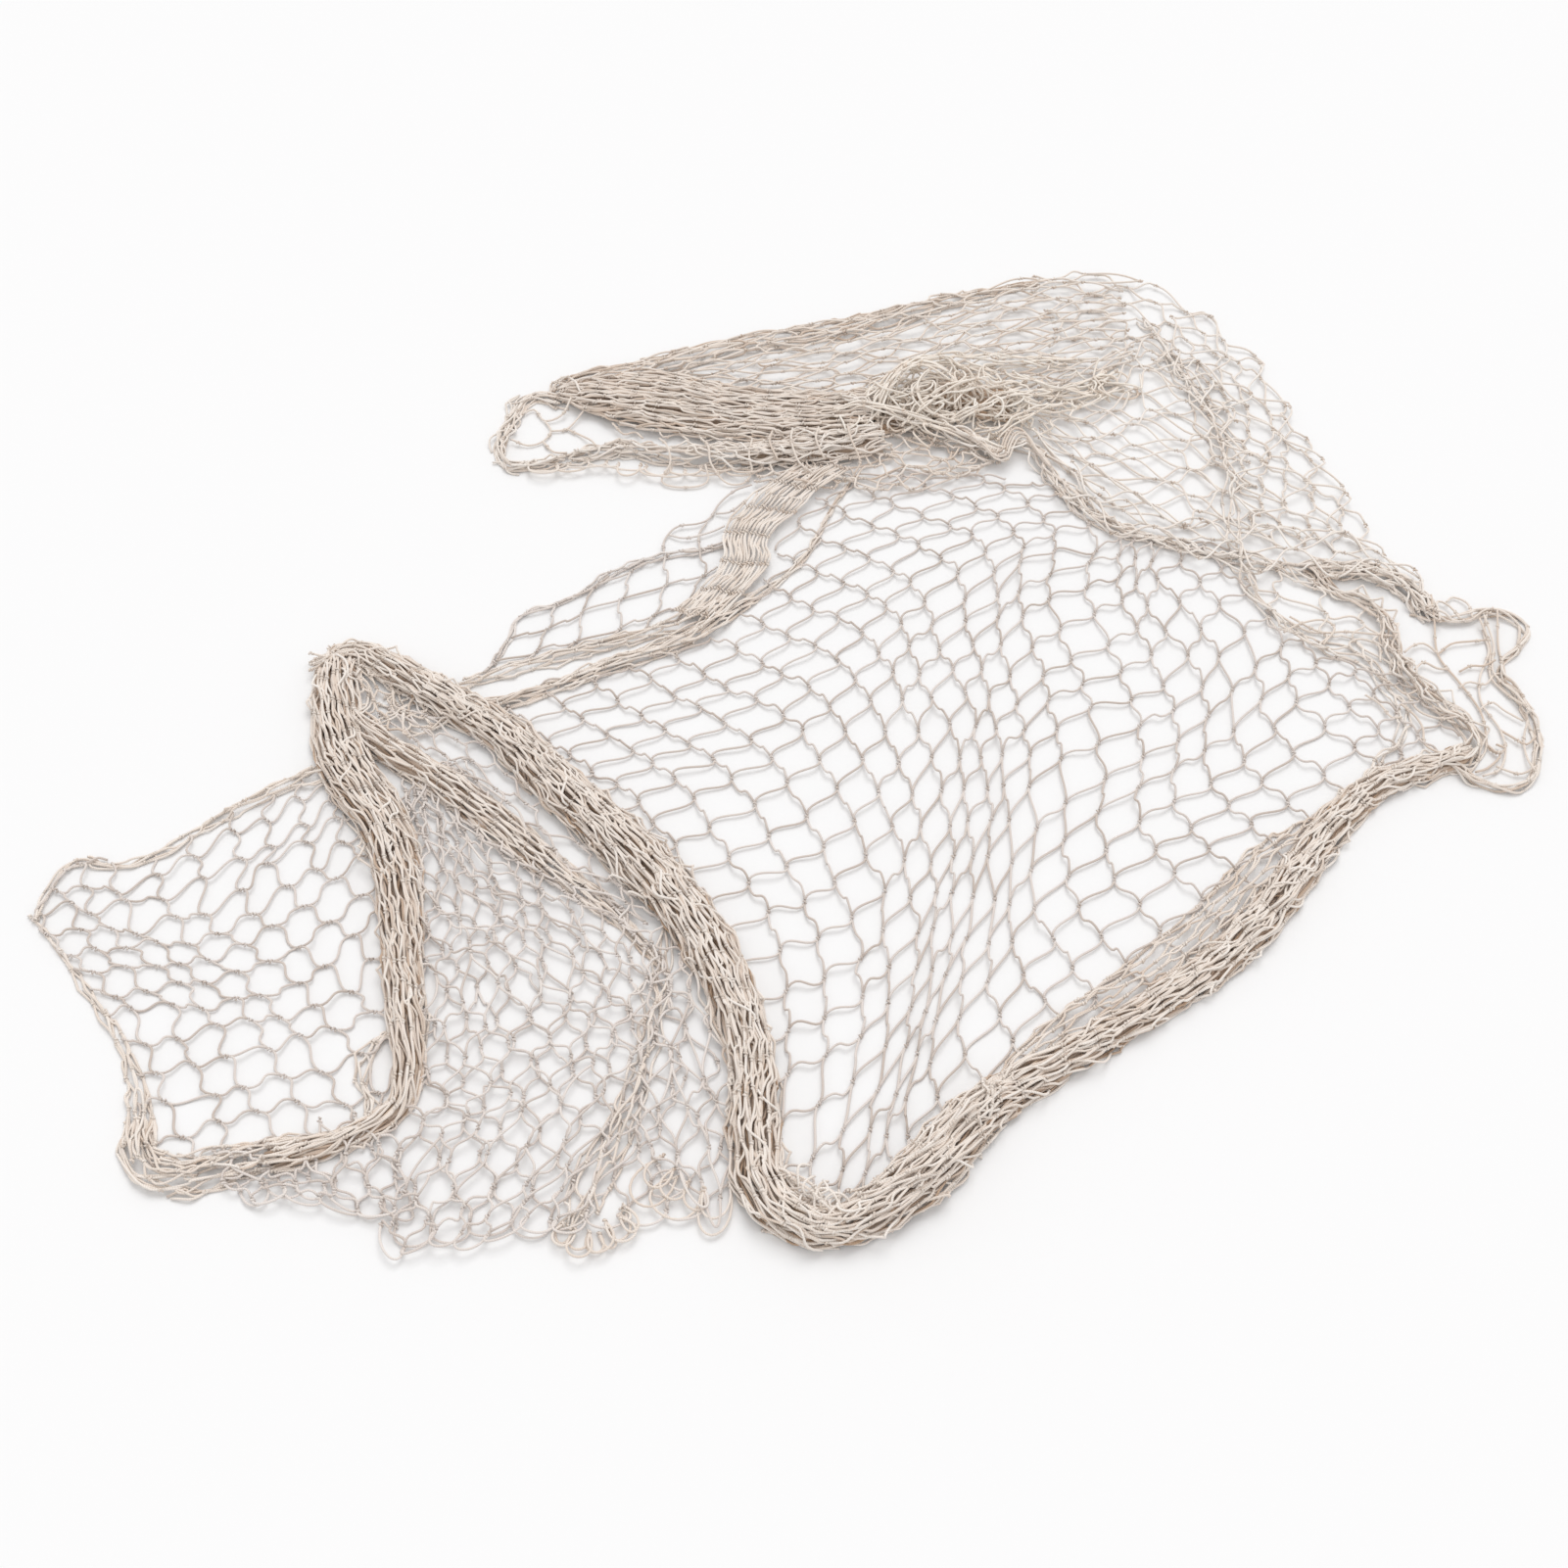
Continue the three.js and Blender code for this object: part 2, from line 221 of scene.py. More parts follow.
def inside(points, outline):
    """Whether each point lies inside the closed outline, by counting the edges it looks across."""
    a = np.array(outline, float)
    b = np.roll(a, -1, axis=0)
    x, y = points[:, 0, None], points[:, 1, None]
    crosses = (a[:, 1] > y) != (b[:, 1] > y)
    slope = (b[:, 0] - a[:, 0]) / np.where(b[:, 1] == a[:, 1], 1e-9, b[:, 1] - a[:, 1])
    return (crosses & (x < a[:, 0] + slope * (y - a[:, 1]))).sum(1) % 2 == 1


def nearest_on(points, outline):
    """The nearest place to each point on the closed outline."""
    a = np.array(outline, float)
    ab = np.roll(a, -1, axis=0) - a
    share = ((points[:, None] - a) * ab).sum(-1) / (ab**2).sum(-1)
    foot = a + np.clip(share, 0, 1)[..., None] * ab
    best = ((points[:, None] - foot) ** 2).sum(-1).argmin(1)
    return foot[np.arange(len(points)), best]


SLACK_WAVE = 95  # from crest to crest, as in the solid
SLACK_SKEW = 0.35  # how far the crests lean away from the two axes
SLACK_LOW = 1.0
SLACK_RISE = 0.45


def slack_height(x, y):
    """Height of the open netting: a low sheet plus two sine waves of slack that cross."""
    k = 2 * np.pi / SLACK_WAVE
    waves = 2 + np.sin(k * (x + SLACK_SKEW * y)) + np.sin(k * (y - SLACK_SKEW * x))
    return SLACK_LOW + SLACK_RISE * waves


KNOT_SWIVEL = 0.14  # how far knots are turned at random, in radians
KNOT_TILT = 0.12
KNOT_HEIGHT = 0.55  # of the open netting's height
UNEVEN_BAR = (0.97, 1.03)
UNEVEN_BEND = (0.6, 1.25)
FULL_BOW = 8  # millimetres of spare twine at which a bar stands up fully


def open_netting(
    strands, pins, rows, columns, outline,
    upright=1, lean=(0.5, 0.5), row_bend=0.6, column_bend=0.6, knot=1.6, jitter=1.3, lift=2.4, slack=0.0,
):
    """A patch of open meshes. Knots stand where the pinned sheet puts them, a little uneven, and a bar runs
    from each to the next in its row and its column. At a knot the strands pass side by side along one
    direction, so each bar leaves and arrives along it, and its slack bows it sideways and up."""
    rng = strands.rng
    i, j = np.meshgrid(np.arange(rows[0], rows[1] + 1), np.arange(columns[0], columns[1] + 1), indexing="ij")
    q = np.c_[i.ravel(), j.ravel()].astype(float)
    place = pinned_sheet(pins)
    xy = place(q)
    row_way = unit(place(q + [0.5, 0]) - place(q - [0.5, 0]))
    column_way = unit(place(q + [0, 0.5]) - place(q - [0, 0.5]))
    along = np.interp(q[:, :1], rows, lean)
    way = unit((1 - along) * row_way - upright * along * column_way)
    xy = xy + rng.normal(0, jitter, xy.shape)
    number = np.arange(len(xy)).reshape(i.shape)
    in_rows = (number[:-1].ravel(), number[1:].ravel())
    in_columns = (number[:, :-1].ravel(), number[:, 1:].ravel())
    within = inside(xy, outline)
    keep = within.copy()
    for a, b in (in_rows, in_columns):
        keep[b[within[a]]] = True
        keep[a[within[b]]] = True
    rim = keep & ~within
    xy[rim] = nearest_on(xy[rim], outline)
    turn = rng.normal(0, KNOT_SWIVEL, len(xy))
    z = RADIUS + slack_height(xy[:, 0], xy[:, 1]) * KNOT_HEIGHT + rng.uniform(0, 0.5, len(xy))
    way = turned(way, turn, rng.normal(0, KNOT_TILT, len(xy)))
    knots = np.c_[xy, z]
    for (a, b), sign, bend in ((in_rows, 1, row_bend), (in_columns, -upright, column_bend)):
        ok = keep[a] & keep[b] & (within[a] | within[b])
        a, b = a[ok], b[ok]
        ways_a, ways_b = sign * unit(way[a]), sign * unit(way[b])
        start = knots[a] + knot * ways_a
        end = knots[b] - knot * ways_b
        straight = unit(end - start)
        blend = bend * rng.uniform(*UNEVEN_BEND, (len(a), 1))
        leave = unit(straight * (1 - blend) + ways_a * blend)
        blend = bend * rng.uniform(*UNEVEN_BEND, (len(a), 1))
        arrive = unit(straight * (1 - blend) + ways_b * blend)
        length = BAR * rng.uniform(*UNEVEN_BAR, len(a)) - 2 * knot
        chord = np.linalg.norm(end - start, axis=1)
        if slack:
            length = np.minimum(length, chord * (1 + slack * rng.uniform(0.4, 1.0, len(a))))
        spare = np.sqrt(np.clip(length - chord, 0, FULL_BOW) / FULL_BOW)
        rise = lift * (0.25 + spare) * rng.uniform(0.5, 1.4, len(a))
        tone = rng.uniform(0.15, 0.5, len(a))
        strands.add(bent_bars(start, end, leave, arrive, length, rise), tone)
    add_knots(strands, knots[within], way[within], rng.uniform(0.2, 0.5, within.sum()))


def feed(tree, node, inputs):
    """Sets each named input to its value, or links it to the socket given for it."""
    for name, value in inputs.items():
        if isinstance(value, bpy.types.NodeSocket):
            tree.links.new(value, node.inputs[name])
        else:
            node.inputs[name].default_value = value


def add_node(tree, kind, inputs=None, **settings):
    """A shader node of that kind, with its settings and inputs."""
    node = tree.nodes.new("ShaderNode" + kind)
    for name, value in settings.items():
        setattr(node, name, value)
    feed(tree, node, inputs or {})
    return node


PLIES = 2
TWIST = 0.38  # turns of a ply round the twine for each millimetre
MIDDLE_TONE = 0.38  # where the middle colour stands between the dark and the pale one


def ply_pattern():
    """Node group: from the twine's UV, the height of its plies, which is half of one plus the sine of the
    angle round it and along it; and a mottle from fine fibres."""
    group = bpy.data.node_groups.new("ply_pattern", "ShaderNodeTree")
    for name in ("Height", "Mottle"):
        group.interface.new_socket(name, in_out="OUTPUT", socket_type="NodeSocketFloat")
    uv = add_node(group, "UVMap", uv_map="twine")
    split = add_node(group, "SeparateXYZ", {"Vector": uv.outputs["UV"]})
    along = add_node(group, "Math", {0: split.outputs["X"], 1: TWIST}, operation="MULTIPLY")
    both = add_node(group, "Math", {0: along.outputs[0], 1: split.outputs["Y"]}, operation="ADD")
    angle = add_node(group, "Math", {0: both.outputs[0], 1: 2 * np.pi * PLIES}, operation="MULTIPLY")
    ridge = add_node(group, "Math", {0: angle.outputs[0]}, operation="SINE")
    height = add_node(group, "Math", {0: ridge.outputs[0], 1: 0.5, 2: 0.5}, operation="MULTIPLY_ADD")
    where = add_node(group, "TexCoord")
    fibre = add_node(group, "TexNoise", {"Vector": where.outputs["Object"], "Scale": 900.0, "Detail": 3.0})
    out = group.nodes.new("NodeGroupOutput")
    feed(group, out, {"Height": height.outputs[0], "Mottle": fibre.outputs["Fac"]})
    return group


plies = ply_pattern()


def cotton(name, dark, middle, pale):
    """Matt cotton, from the colour of a strand deep in a fold, a painted shade, to that of one on top, a
    painted light; each strand's tone, partly random and partly painted shade, picks between them.
    Painted shade darkens the grooves between the slanting ridges of its plies, with fine fibres over them."""
    twine = bpy.data.materials.new(name)
    twine.use_nodes = True
    tree = twine.node_tree
    pattern = add_node(tree, "Group", node_tree=plies)
    tone = add_node(tree, "Attribute", attribute_name="tone")
    # The ramp runs from a dark colour, painted as the shade deep in a fold, to a pale one, painted as the
    # light on top.
    ramp = add_node(tree, "ValToRGB", {"Fac": tone.outputs["Fac"]})
    ramp.color_ramp.elements[0].color = dark
    ramp.color_ramp.elements[1].color = pale
    ramp.color_ramp.elements.new(MIDDLE_TONE).color = middle
    # Painted shade: the colour is darkened in the grooves between the plies.
    groove_shade = add_node(tree, "MapRange", {"Value": pattern.outputs["Height"], "To Min": 0.6})
    mixed = {"Factor": 0.35, "A": ramp.outputs["Color"], "B": groove_shade.outputs["Result"]}
    shaded = add_node(tree, "Mix", mixed, data_type="RGBA", blend_type="MULTIPLY")
    plied = {"Strength": 0.5, "Distance": 0.00025, "Height": pattern.outputs["Height"]}
    ridges = add_node(tree, "Bump", plied)
    fuzzy = {"Strength": 0.25, "Distance": 0.0002, "Height": pattern.outputs["Mottle"]}
    fibres = add_node(tree, "Bump", fuzzy | {"Normal": ridges.outputs["Normal"]})
    surface = {
        "Base Color": shaded.outputs["Result"],
        "Roughness": 0.92,
        "Specular IOR Level": 0.2,
        "Sheen Weight": 0.35,
        "Sheen Roughness": 0.6,
        "Normal": fibres.outputs["Normal"],
    }
    feed(tree, tree.nodes["Principled BSDF"], surface)
    return twine


# A cooler, greyer copy of the same cotton for the single open layers: the difference is painted light, the
# cool light of the floor on the twine.
cool_lit_cotton = cotton(
    "cotton_twine_painted_cool_light", (0.56, 0.46, 0.39, 1), (0.785, 0.705, 0.655, 1), (0.98, 0.925, 0.885, 1)
)


def finish_piece(strands, name, twine):
    """Builds the collected strands as one mesh, which rides on the net's one body."""
    obj = strands.build(name)
    obj.data.materials.append(twine)
    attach(obj, "root")
    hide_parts("netting")


fan = Strands(11)
# Rows run up to the right and columns down to the right; each pin says where one knot lies.
FAN_PINS = [
    # row, column, x, y
    (0, -5, -111, 35), (4, -5, -32, 103), (10, -5, 76, 231),
    (0, -1, -55, -12), (2, -1, -8, 18), (6, -1, 61, 104), (10, -1, 135, 189),
    (0, 1, -32, -55), (8, 1, 100, 105), (10, 1, 139, 150), (11, 1, 155, 177), (13, 1, 209, 191),
    (0, 3, -10, -93), (2, 3, 32, -72), (8, 3, 115, 67), (12, 3, 173, 147),
    (2, 5, 44, -124), (10, 5, 147, 61), (14, 5, 228, 121), (16, 5, 246, 164),
    (0, 7, 2, -198), (10, 7, 150, 22), (12, 7, 194, 57), (14, 7, 242, 75), (16, 7, 271, 123),
    (2, 9, 33, -231), (4, 9, 68, -180), (8, 9, 122, -83),
    (14, 9, 246, 33), (18, 9, 320, 108), (20, 9, 350, 120),
    (6, 11, 80, -190), (10, 11, 147, -90), (14, 11, 236, -15), (16, 11, 284, 16), (18, 11, 324, 62),
    (8, 13, 131, -177), (14, 13, 256, -48), (18, 13, 354, 25), (20, 13, 384, 52),
]
FAN_OUTLINE = [
    # x, y
    (-200, 55), (-130, -6), (-54, -94), (-20, -192), (-6, -268), (30, -280), (70, -262), (108, -222),
    (134, -200), (176, -172), (246, -126), (310, -64), (360, -2), (402, 16), (420, 34), (418, 54),
    (402, 76), (372, 88), (345, 106), (316, 128), (306, 190), (262, 200), (214, 214), (184, 250),
    (140, 258), (40, 262), (20, 236), (0, 200), (-20, 150), (-40, 118), (-110, 92),
]
open_netting(
    fan, FAN_PINS, (-3, 22), (-8, 16), FAN_OUTLINE,
    lean=(0.75, 0.5), row_bend=0.7, column_bend=0.55, jitter=1.1, slack=0.11,
)
finish_piece(fan, "netting_fan", cool_lit_cotton)


# ------------------------------------------------------------
# The left panel: a single layer of the same cotton netting, between the left corner and the fold that comes
# down from the peak. It lies slack on the floor, and where it meets the folds its bars end under them.
left = Strands(12)
LEFT_PINS = [
    # row, column, x, y
    (-6, -2, -436, -92), (-6, 0, -412, -124), (-6, 3, -368, -157), (-6, 5, -350, -196),
    (-6, 7, -328, -232), (-4, -3, -410, -77), (-4, -1, -390, -104), (-4, 1, -362, -130),
    (-4, 3, -330, -154), (-4, 5, -308, -187), (-4, 7, -286, -220), (-2, -3, -371, -67),
    (-2, -1, -356, -99), (-2, 1, -332, -125), (-2, 3, -297, -148), (-2, 5, -270, -177),
    (-2, 7, -245, -213), (0, -3, -330, -36), (0, -1, -321, -78), (0, 1, -295, -107), (0, 2, -279, -119),
    (0, 4, -246, -143), (2, -2, -288, -30), (2, 0, -279, -58), (2, 1, -267, -70), (1, 3, -250, -110),
    (3, 0, -263, -43), (3, 1, -247, -54), (-1, 5, -250, -172), (-1, 6, -236, -188),
]
LEFT_OUTLINE = [
    # x, y
    (-440, -98), (-428, -60), (-410, -55), (-392, -60), (-372, -48), (-340, -24), (-300, 2), (-262, 0),
    (-244, -28), (-231, -58), (-223, -96), (-216, -146), (-212, -190), (-222, -230), (-250, -241),
    (-300, -247), (-346, -256), (-354, -226), (-363, -190), (-380, -164), (-412, -126),
]
open_netting(
    left, LEFT_PINS, (-8, 5), (-6, 10), LEFT_OUTLINE,
    upright=-1, row_bend=0.9, column_bend=0.9, knot=1.8, jitter=2.2, lift=1.0, slack=0.15,
)
finish_piece(left, "netting_left_panel", cool_lit_cotton)


# ------------------------------------------------------------
# The middle: two layers of the netting, one over the other, lie between the two long folds, drawn long from
# back to front, and end in a looped front edge. A single layer of the same cotton reaches on to the foot of
# the wing, along a thin drawn-in edge.


POINTS_PER_ROW = 24  # before the run is cut to its steps


def smooth_rows(rows, step):
    """Catmull-Rom curve through the rows' first two columns, cut about every step along its run; the other
    columns are carried along with it."""
    rows = np.array(rows, float)
    ends = np.vstack([2 * rows[0] - rows[1], rows, 2 * rows[-1] - rows[-2]])
    t = np.linspace(0, 1, POINTS_PER_ROW, endpoint=False)[:, None]
    spans = [
        0.5 * (2 * b + (c - a) * t + (2 * a - 5 * b + 4 * c - d) * t**2 + (3 * b - a - 3 * c + d) * t**3)
        for a, b, c, d in zip(ends[:-3], ends[1:-2], ends[2:-1], ends[3:])
    ]
    fine = np.vstack(spans + [rows[-1:]])
    run = np.r_[0, np.cumsum(np.linalg.norm(np.diff(fine[:, :2], axis=0), axis=1))]
    count = max(4, int(round(run[-1] / step)) + 1)
    at = np.linspace(0, run[-1], count)
    return at, np.stack([np.interp(at, run, fine[:, c]) for c in range(rows.shape[1])], axis=1)


def along_rows(rows, step):
    """smooth_rows, with the unit directions ahead along the run and to its left, a quarter turn from it."""
    run, line = smooth_rows(rows, step)
    ahead = unit(np.gradient(line[:, :2], axis=0))
    return run, line, ahead, np.c_[-ahead[:, 1], ahead[:, 0]]


def wave_field(rng, long_wave, strands_wave, waves=4):
    """Smooth field over (distance along, strand number): sine waves of random length, slope and phase, added
    up and divided by the root of their number, so that strands beside each other wander together."""
    k = 2 * np.pi / (long_wave * rng.uniform(0.6, 1.5, waves))
    c = 2 * np.pi / strands_wave * rng.uniform(-1, 1, waves)
    p = rng.uniform(0, 2 * np.pi, waves)
    return lambda s, n: np.sin(s[..., None] * k + n[..., None] * c + p).sum(-1) / np.sqrt(waves)


LOOP_FLARE = 0.25  # radians that each side of a loop is turned outwards


def hanging_loops(strands, knots, out, length):
    """Half-meshes that hang out between neighbouring knots of a free edge. Both sides of a loop leave their
    knots turned away from each other, so it is wider at its end than at its knots."""
    rng = strands.rng
    start, end = knots[:-1], knots[1:]
    side = end - start
    flare = LOOP_FLARE * np.sign(out[:-1, 0] * side[:, 1] - out[:-1, 1] * side[:, 0])
    turn = rng.normal(0, 0.16, (2, len(start)))
    leave, arrive = turned(out[:-1], turn[0] - flare), turned(out[1:], turn[1] + flare)
    lift = rng.uniform(0, 2.5, len(start))
    bars = bent_bars(start, end, leave, -arrive, length, lift, points=14, longest=9.0)
    strands.add(bars, rng.uniform(0.35, 0.7, len(start)))


# Where the bars from a row of knots start and where on the next row they end, one line on or one line back.
LINE_ON = (slice(0, -1), slice(0, -1)), (slice(1, None), slice(1, None))
LINE_BACK = (slice(0, -1), slice(1, None)), (slice(1, None), slice(0, -1))
HALF_KNOT = 1.5  # millimetres of a bar's end that lie in its knot


def long_meshes(
    strands, rows, lines,
    pitch=26.0, wobble=1.0, height=0.0, thick=2.0, hem=0.0, turn_by=0.25, slack=0.0, tone=(0.25, 0.65),
):
    """Meshes drawn out along one way: rows are x, y of one side and x, y of the other, along the run. Knots
    sit on every second line by turns, and a bar runs from each to both neighbours on the next row of knots.
    With a hem, the last row's meshes hang out as loops of that length."""
    rng = strands.rng
    rows = np.array(rows, float)
    middle = 0.5 * (rows[:, :2] + rows[:, 2:4])
    run, table = smooth_rows(np.c_[middle, rows], pitch)
    side_a, side_b = table[:, 2:4], table[:, 4:6]
    m, n = np.meshgrid(np.arange(len(run)), np.arange(lines + 1), indexing="ij")
    field_x, field_y = wave_field(rng, 90, 6), wave_field(rng, 70, 5)
    rise = wave_field(rng, 60, 4)
    share = (n / lines)[..., None]
    xy = side_a[:, None] * (1 - share) + side_b[:, None] * share
    s, line = run[:, None] + 0 * n, n.astype(float)
    along = unit(np.gradient(xy, axis=0))
    across = np.stack([-along[..., 1], along[..., 0]], axis=-1)
    uneven = rng.normal(0, 1.0, n.shape)
    xy = xy + wobble * (2.2 * field_x(s, line) + 2.0 * uneven)[..., None] * along
    xy = xy + wobble * 0.9 * field_y(s, line)[..., None] * across
    z = height + RADIUS + 0.4 + thick * 0.5 * (1 + rise(s, line)) + rng.uniform(0, 0.6, n.shape)
    knots = np.concatenate([xy, z[..., None]], axis=-1)
    way = np.concatenate([along, np.zeros_like(z)[..., None]], axis=-1)
    there = (m + n) % 2 == 0
    for a, b in (LINE_BACK, LINE_ON):
        ok = there[a] & there[b]
        ways_a, ways_b = way[a][ok], way[b][ok]
        start, end = knots[a][ok] + HALF_KNOT * ways_a, knots[b][ok] - HALF_KNOT * ways_b
        turn = rng.normal(0, turn_by, (2, len(start)))
        ways = turned(ways_a, turn[0]), turned(ways_b, turn[1])
        length = BAR * rng.uniform(0.96, 1.04, len(start)) - 2 * HALF_KNOT
        if slack:
            chord = np.linalg.norm(end - start, axis=1)
            length = np.minimum(length, chord * (1 + slack * rng.uniform(0.2, 1.0, len(chord))))
        lift = rng.uniform(-0.4, 1.6, len(start))
        bars = bent_bars(start, end, ways[0], ways[1], length, lift, points=8)
        strands.add(bars, rng.uniform(*tone, len(start)))
    add_knots(strands, knots[there], way[there], rng.uniform(0.3, 0.6, there.sum()))
    if hem:
        last = np.flatnonzero(there[-1])
        loop_length = hem * rng.uniform(0.8, 1.1, len(last) - 1)
        hanging_loops(strands, knots[-1, last], way[-1, last], loop_length)


KNOTS_APART = 26  # on a single strand, in millimetres


def single_strands(strands, table, step=3.0):
    """Strands laid one by one: each table entry is a run of x, y and the height of its underside, with a
    knot at about every bar's length."""
    rng = strands.rng
    for points in table:
        run, line = smooth_rows(points, step)
        path = line[None, :, :3].copy()
        path[..., 2] = np.maximum(path[..., 2], 0) + RADIUS
        strands.add(path, rng.uniform(0.25, 0.6))
        index = np.arange(rng.integers(2, 6), len(run) - 2, int(KNOTS_APART / step))
        if len(index):
            ahead = path[0, index + 1] - path[0, index - 1]
            add_knots(strands, path[0, index], ahead, np.full(len(index), 0.5))


SHOULDER = 0.16  # height of a fold's sides, as a share of its full height
FOLD_STEP = 24.0  # from one row of a fold's knots to the next: a bar's length, less its knots and bends
LAYER_APART = 57.0  # lines between two layers, so that each wanders on its own


def fold(
    strands, rows, pitch=1.75, layers=3, slant=0.0, wild=1.0, slack=0.11, shoulder=SHOULDER, tone=(0.4, 0.85)
):
    """Netting drawn together into a fold. Rows are x, y, width, height along its run. Layer on layer, closed
    meshes run along it, as in long_meshes, over a back whose height is a shoulder plus a half circle. Slant
    carries the lines across the back as they run, and a line that reaches the side ends under it. Each lower
    layer is given a darker tone: painted shade."""
    rng = strands.rng
    run, line, ahead, left = along_rows(rows, FOLD_STEP)
    half = 0.5 * line[:, 2] - RADIUS
    spare = abs(slant) * run[-1] * 0.5
    for layer in range(layers):
        most = int((half.max() + spare) / pitch) + 1
        number = np.arange(-most, most + 1)
        m, n = np.meshgrid(np.arange(len(run)), number, indexing="ij")
        s = run[:, None] + 0.0 * n
        nn = n + LAYER_APART * layer
        offset = n * pitch + slant * (s - run[-1] / 2) + rng.uniform(-0.5, 0.5) * pitch
        offset = offset + wild * (1.5 * wave_field(rng, 95, 8)(s, nn) + 0.7 * rng.normal(0, 1, n.shape))
        limit = half[:, None] * (1 - 0.05 * layer)
        over = np.abs(offset) > limit + 0.5 * pitch
        offset = np.clip(offset, -limit, limit)
        slide = 4.5 * wave_field(rng, 60, 5)(s, nn) + 2.6 * rng.normal(0, 1, n.shape)
        u = np.clip(np.abs(offset) / half[:, None], 0, 1)
        top = line[:, 3, None] * (shoulder + (1 - shoulder) * np.sqrt(1 - u**2)) - RADIUS
        wander = 0.9 * (1 + wave_field(rng, 45, 3)(s, nn)) + rng.uniform(0, 1.0, n.shape)
        dip = (0.9 * layer + 0.5 * layer**2) + wild * wander
        z = np.maximum(top - dip, RADIUS + 0.2)
        x = line[:, 0, None] + left[:, 0, None] * offset + ahead[:, 0, None] * slide
        y = line[:, 1, None] + left[:, 1, None] * offset + ahead[:, 1, None] * slide
        knots = np.stack([x, y, z], axis=-1)
        way = np.broadcast_to(np.append(ahead, np.zeros((len(run), 1)), axis=1)[:, None], knots.shape)
        there = (m + n) % 2 == 0
        for a, b in (LINE_ON, LINE_BACK):
            ok = there[a] & there[b] & ~(over[a] & over[b])
            start, end = knots[a][ok], knots[b][ok]
            ways = []
            for w in (way[a][ok], way[b][ok]):
                turn = wild * rng.normal(0, 0.26, len(w))
                rise = wild * rng.normal(0, 0.1, len(w))
                ways.append(turned(w, turn, rise))
            chord = np.linalg.norm(end - start, axis=1)
            length = chord * (1 + wild * slack * rng.uniform(0.1, 1.0, len(chord)))
            # Painted shade: each lower layer is given a darker tone.
            shade = np.clip(rng.uniform(*tone, len(chord)) - 0.1 * layer - 0.08 * layer**2, 0, 1)
            lift = rng.uniform(-0.5, 1.0, len(chord))
            bars = bent_bars(start, end, unit(ways[0]), unit(ways[1]), length, lift, points=8 - layer)
            strands.add(bars, shade, sides=6 - layer)
        if layer == 0:
            seen = there & ~over
            add_knots(strands, knots[seen] + [0, 0, 0.2], way[seen], rng.uniform(0.4, 0.8, seen.sum()))


middle = Strands(13)
MIDDLE_LOWER = [
    # x, y of the left side, x, y of the right side
    (-232, 4, -204, 12), (-224, -56, -150, -44), (-214, -110, -88, -98), (-208, -160, -56, -148),
    (-206, -208, -34, -198), (-208, -244, -24, -236), (-206, -288, -32, -272),
]
MIDDLE_UPPER = [
    # x, y of the left side, x, y of the right side
    (-238, -10, -196, 16), (-228, -70, -138, -50), (-222, -120, -92, -80), (-214, -172, -60, -118),
    (-206, -220, -52, -172), (-212, -262, -62, -214), (-214, -294, -106, -284),
]
WEDGE = [
    # x, y of the left side, x, y of the right side
    (-252, 48, -236, 64), (-208, 4, -186, 32), (-166, -34, -144, 2), (-126, -74, -104, -38),
    (-88, -108, -70, -84),
]
BELOW_FOLD = [
    # x, y of the left side, x, y of the right side
    (-306, -248, -214, -226), (-302, -259, -206, -248), (-296, -268, -198, -276),
]
long_meshes(middle, MIDDLE_LOWER, 17, pitch=17, wobble=1.2, hem=34, turn_by=0.3, slack=0.16)
long_meshes(middle, MIDDLE_UPPER, 14, pitch=18, wobble=1.6, height=2.2, hem=32, turn_by=0.35, slack=0.2)
long_meshes(middle, WEDGE, 6, pitch=22, wobble=1.2, height=1.0, slack=0.3)
BESIDE_GATHERS = [
    # x, y of the left side, x, y of the right side
    (-80, -118, -46, -128), (-84, -160, -36, -166), (-88, -204, -28, -206), (-82, -238, -24, -244),
    (-64, -254, -30, -272),
]
long_meshes(middle, BESIDE_GATHERS, 7, pitch=22, wobble=1.2, height=1.5, hem=42, turn_by=0.3, slack=0.18)
long_meshes(middle, BELOW_FOLD, 13, pitch=14, wobble=1.2, hem=28, turn_by=0.4, slack=0.25)
long_meshes(middle, BELOW_FOLD, 10, pitch=16, wobble=1.6, hem=26, height=2.0, turn_by=0.4, slack=0.25)
STRIP_PINS = [
    # row, column, x, y
    (0, 0, -186, 92), (0, 1, -178, 112), (0, 2, -172, 131), (1, 0, -160, 103), (1, 1, -153, 121),
    (1, 2, -150, 142), (2, 0, -134, 112), (2, 1, -129, 132), (2, 2, -124, 155), (3, 0, -108, 122),
    (3, 1, -104, 145), (3, 2, -99, 169), (4, 0, -82, 134), (4, 1, -78, 158), (4, 2, -78, 183),
    (5, 1, -54, 166), (5, 2, -56, 187), (6, 2, -40, 196), (5, 0, -62, 144),
]
STRIP_OUTLINE = [
    # x, y
    (-192, 84), (-160, 95), (-104, 113), (-58, 132), (-46, 166), (-38, 194), (-58, 188), (-82, 184),
    (-109, 172), (-128, 157), (-146, 144), (-160, 137), (-173, 130), (-178, 110),
]
open_netting(
    middle, STRIP_PINS, (-1, 7), (-1, 3), STRIP_OUTLINE,
    upright=-1, row_bend=0.25, column_bend=0.3, jitter=1.2, lift=1.2, slack=0.1,
)
STRIP_LOOPS = [
    # runs of x, y and height
    [(-80, 186, 1), (-80, 198, 1), (-72, 209, 2), (-58, 212, 2), (-50, 218, 1), (-44, 230, 2),
     (-34, 241, 3), (-22, 246, 4)],
    [(-56, 188, 1), (-57, 202, 2), (-52, 214, 1)],
    [(-78, 203, 1), (-66, 199, 2), (-50, 204, 2), (-40, 210, 2)],
    [(-46, 222, 1), (-36, 222, 3), (-26, 232, 4)],
]
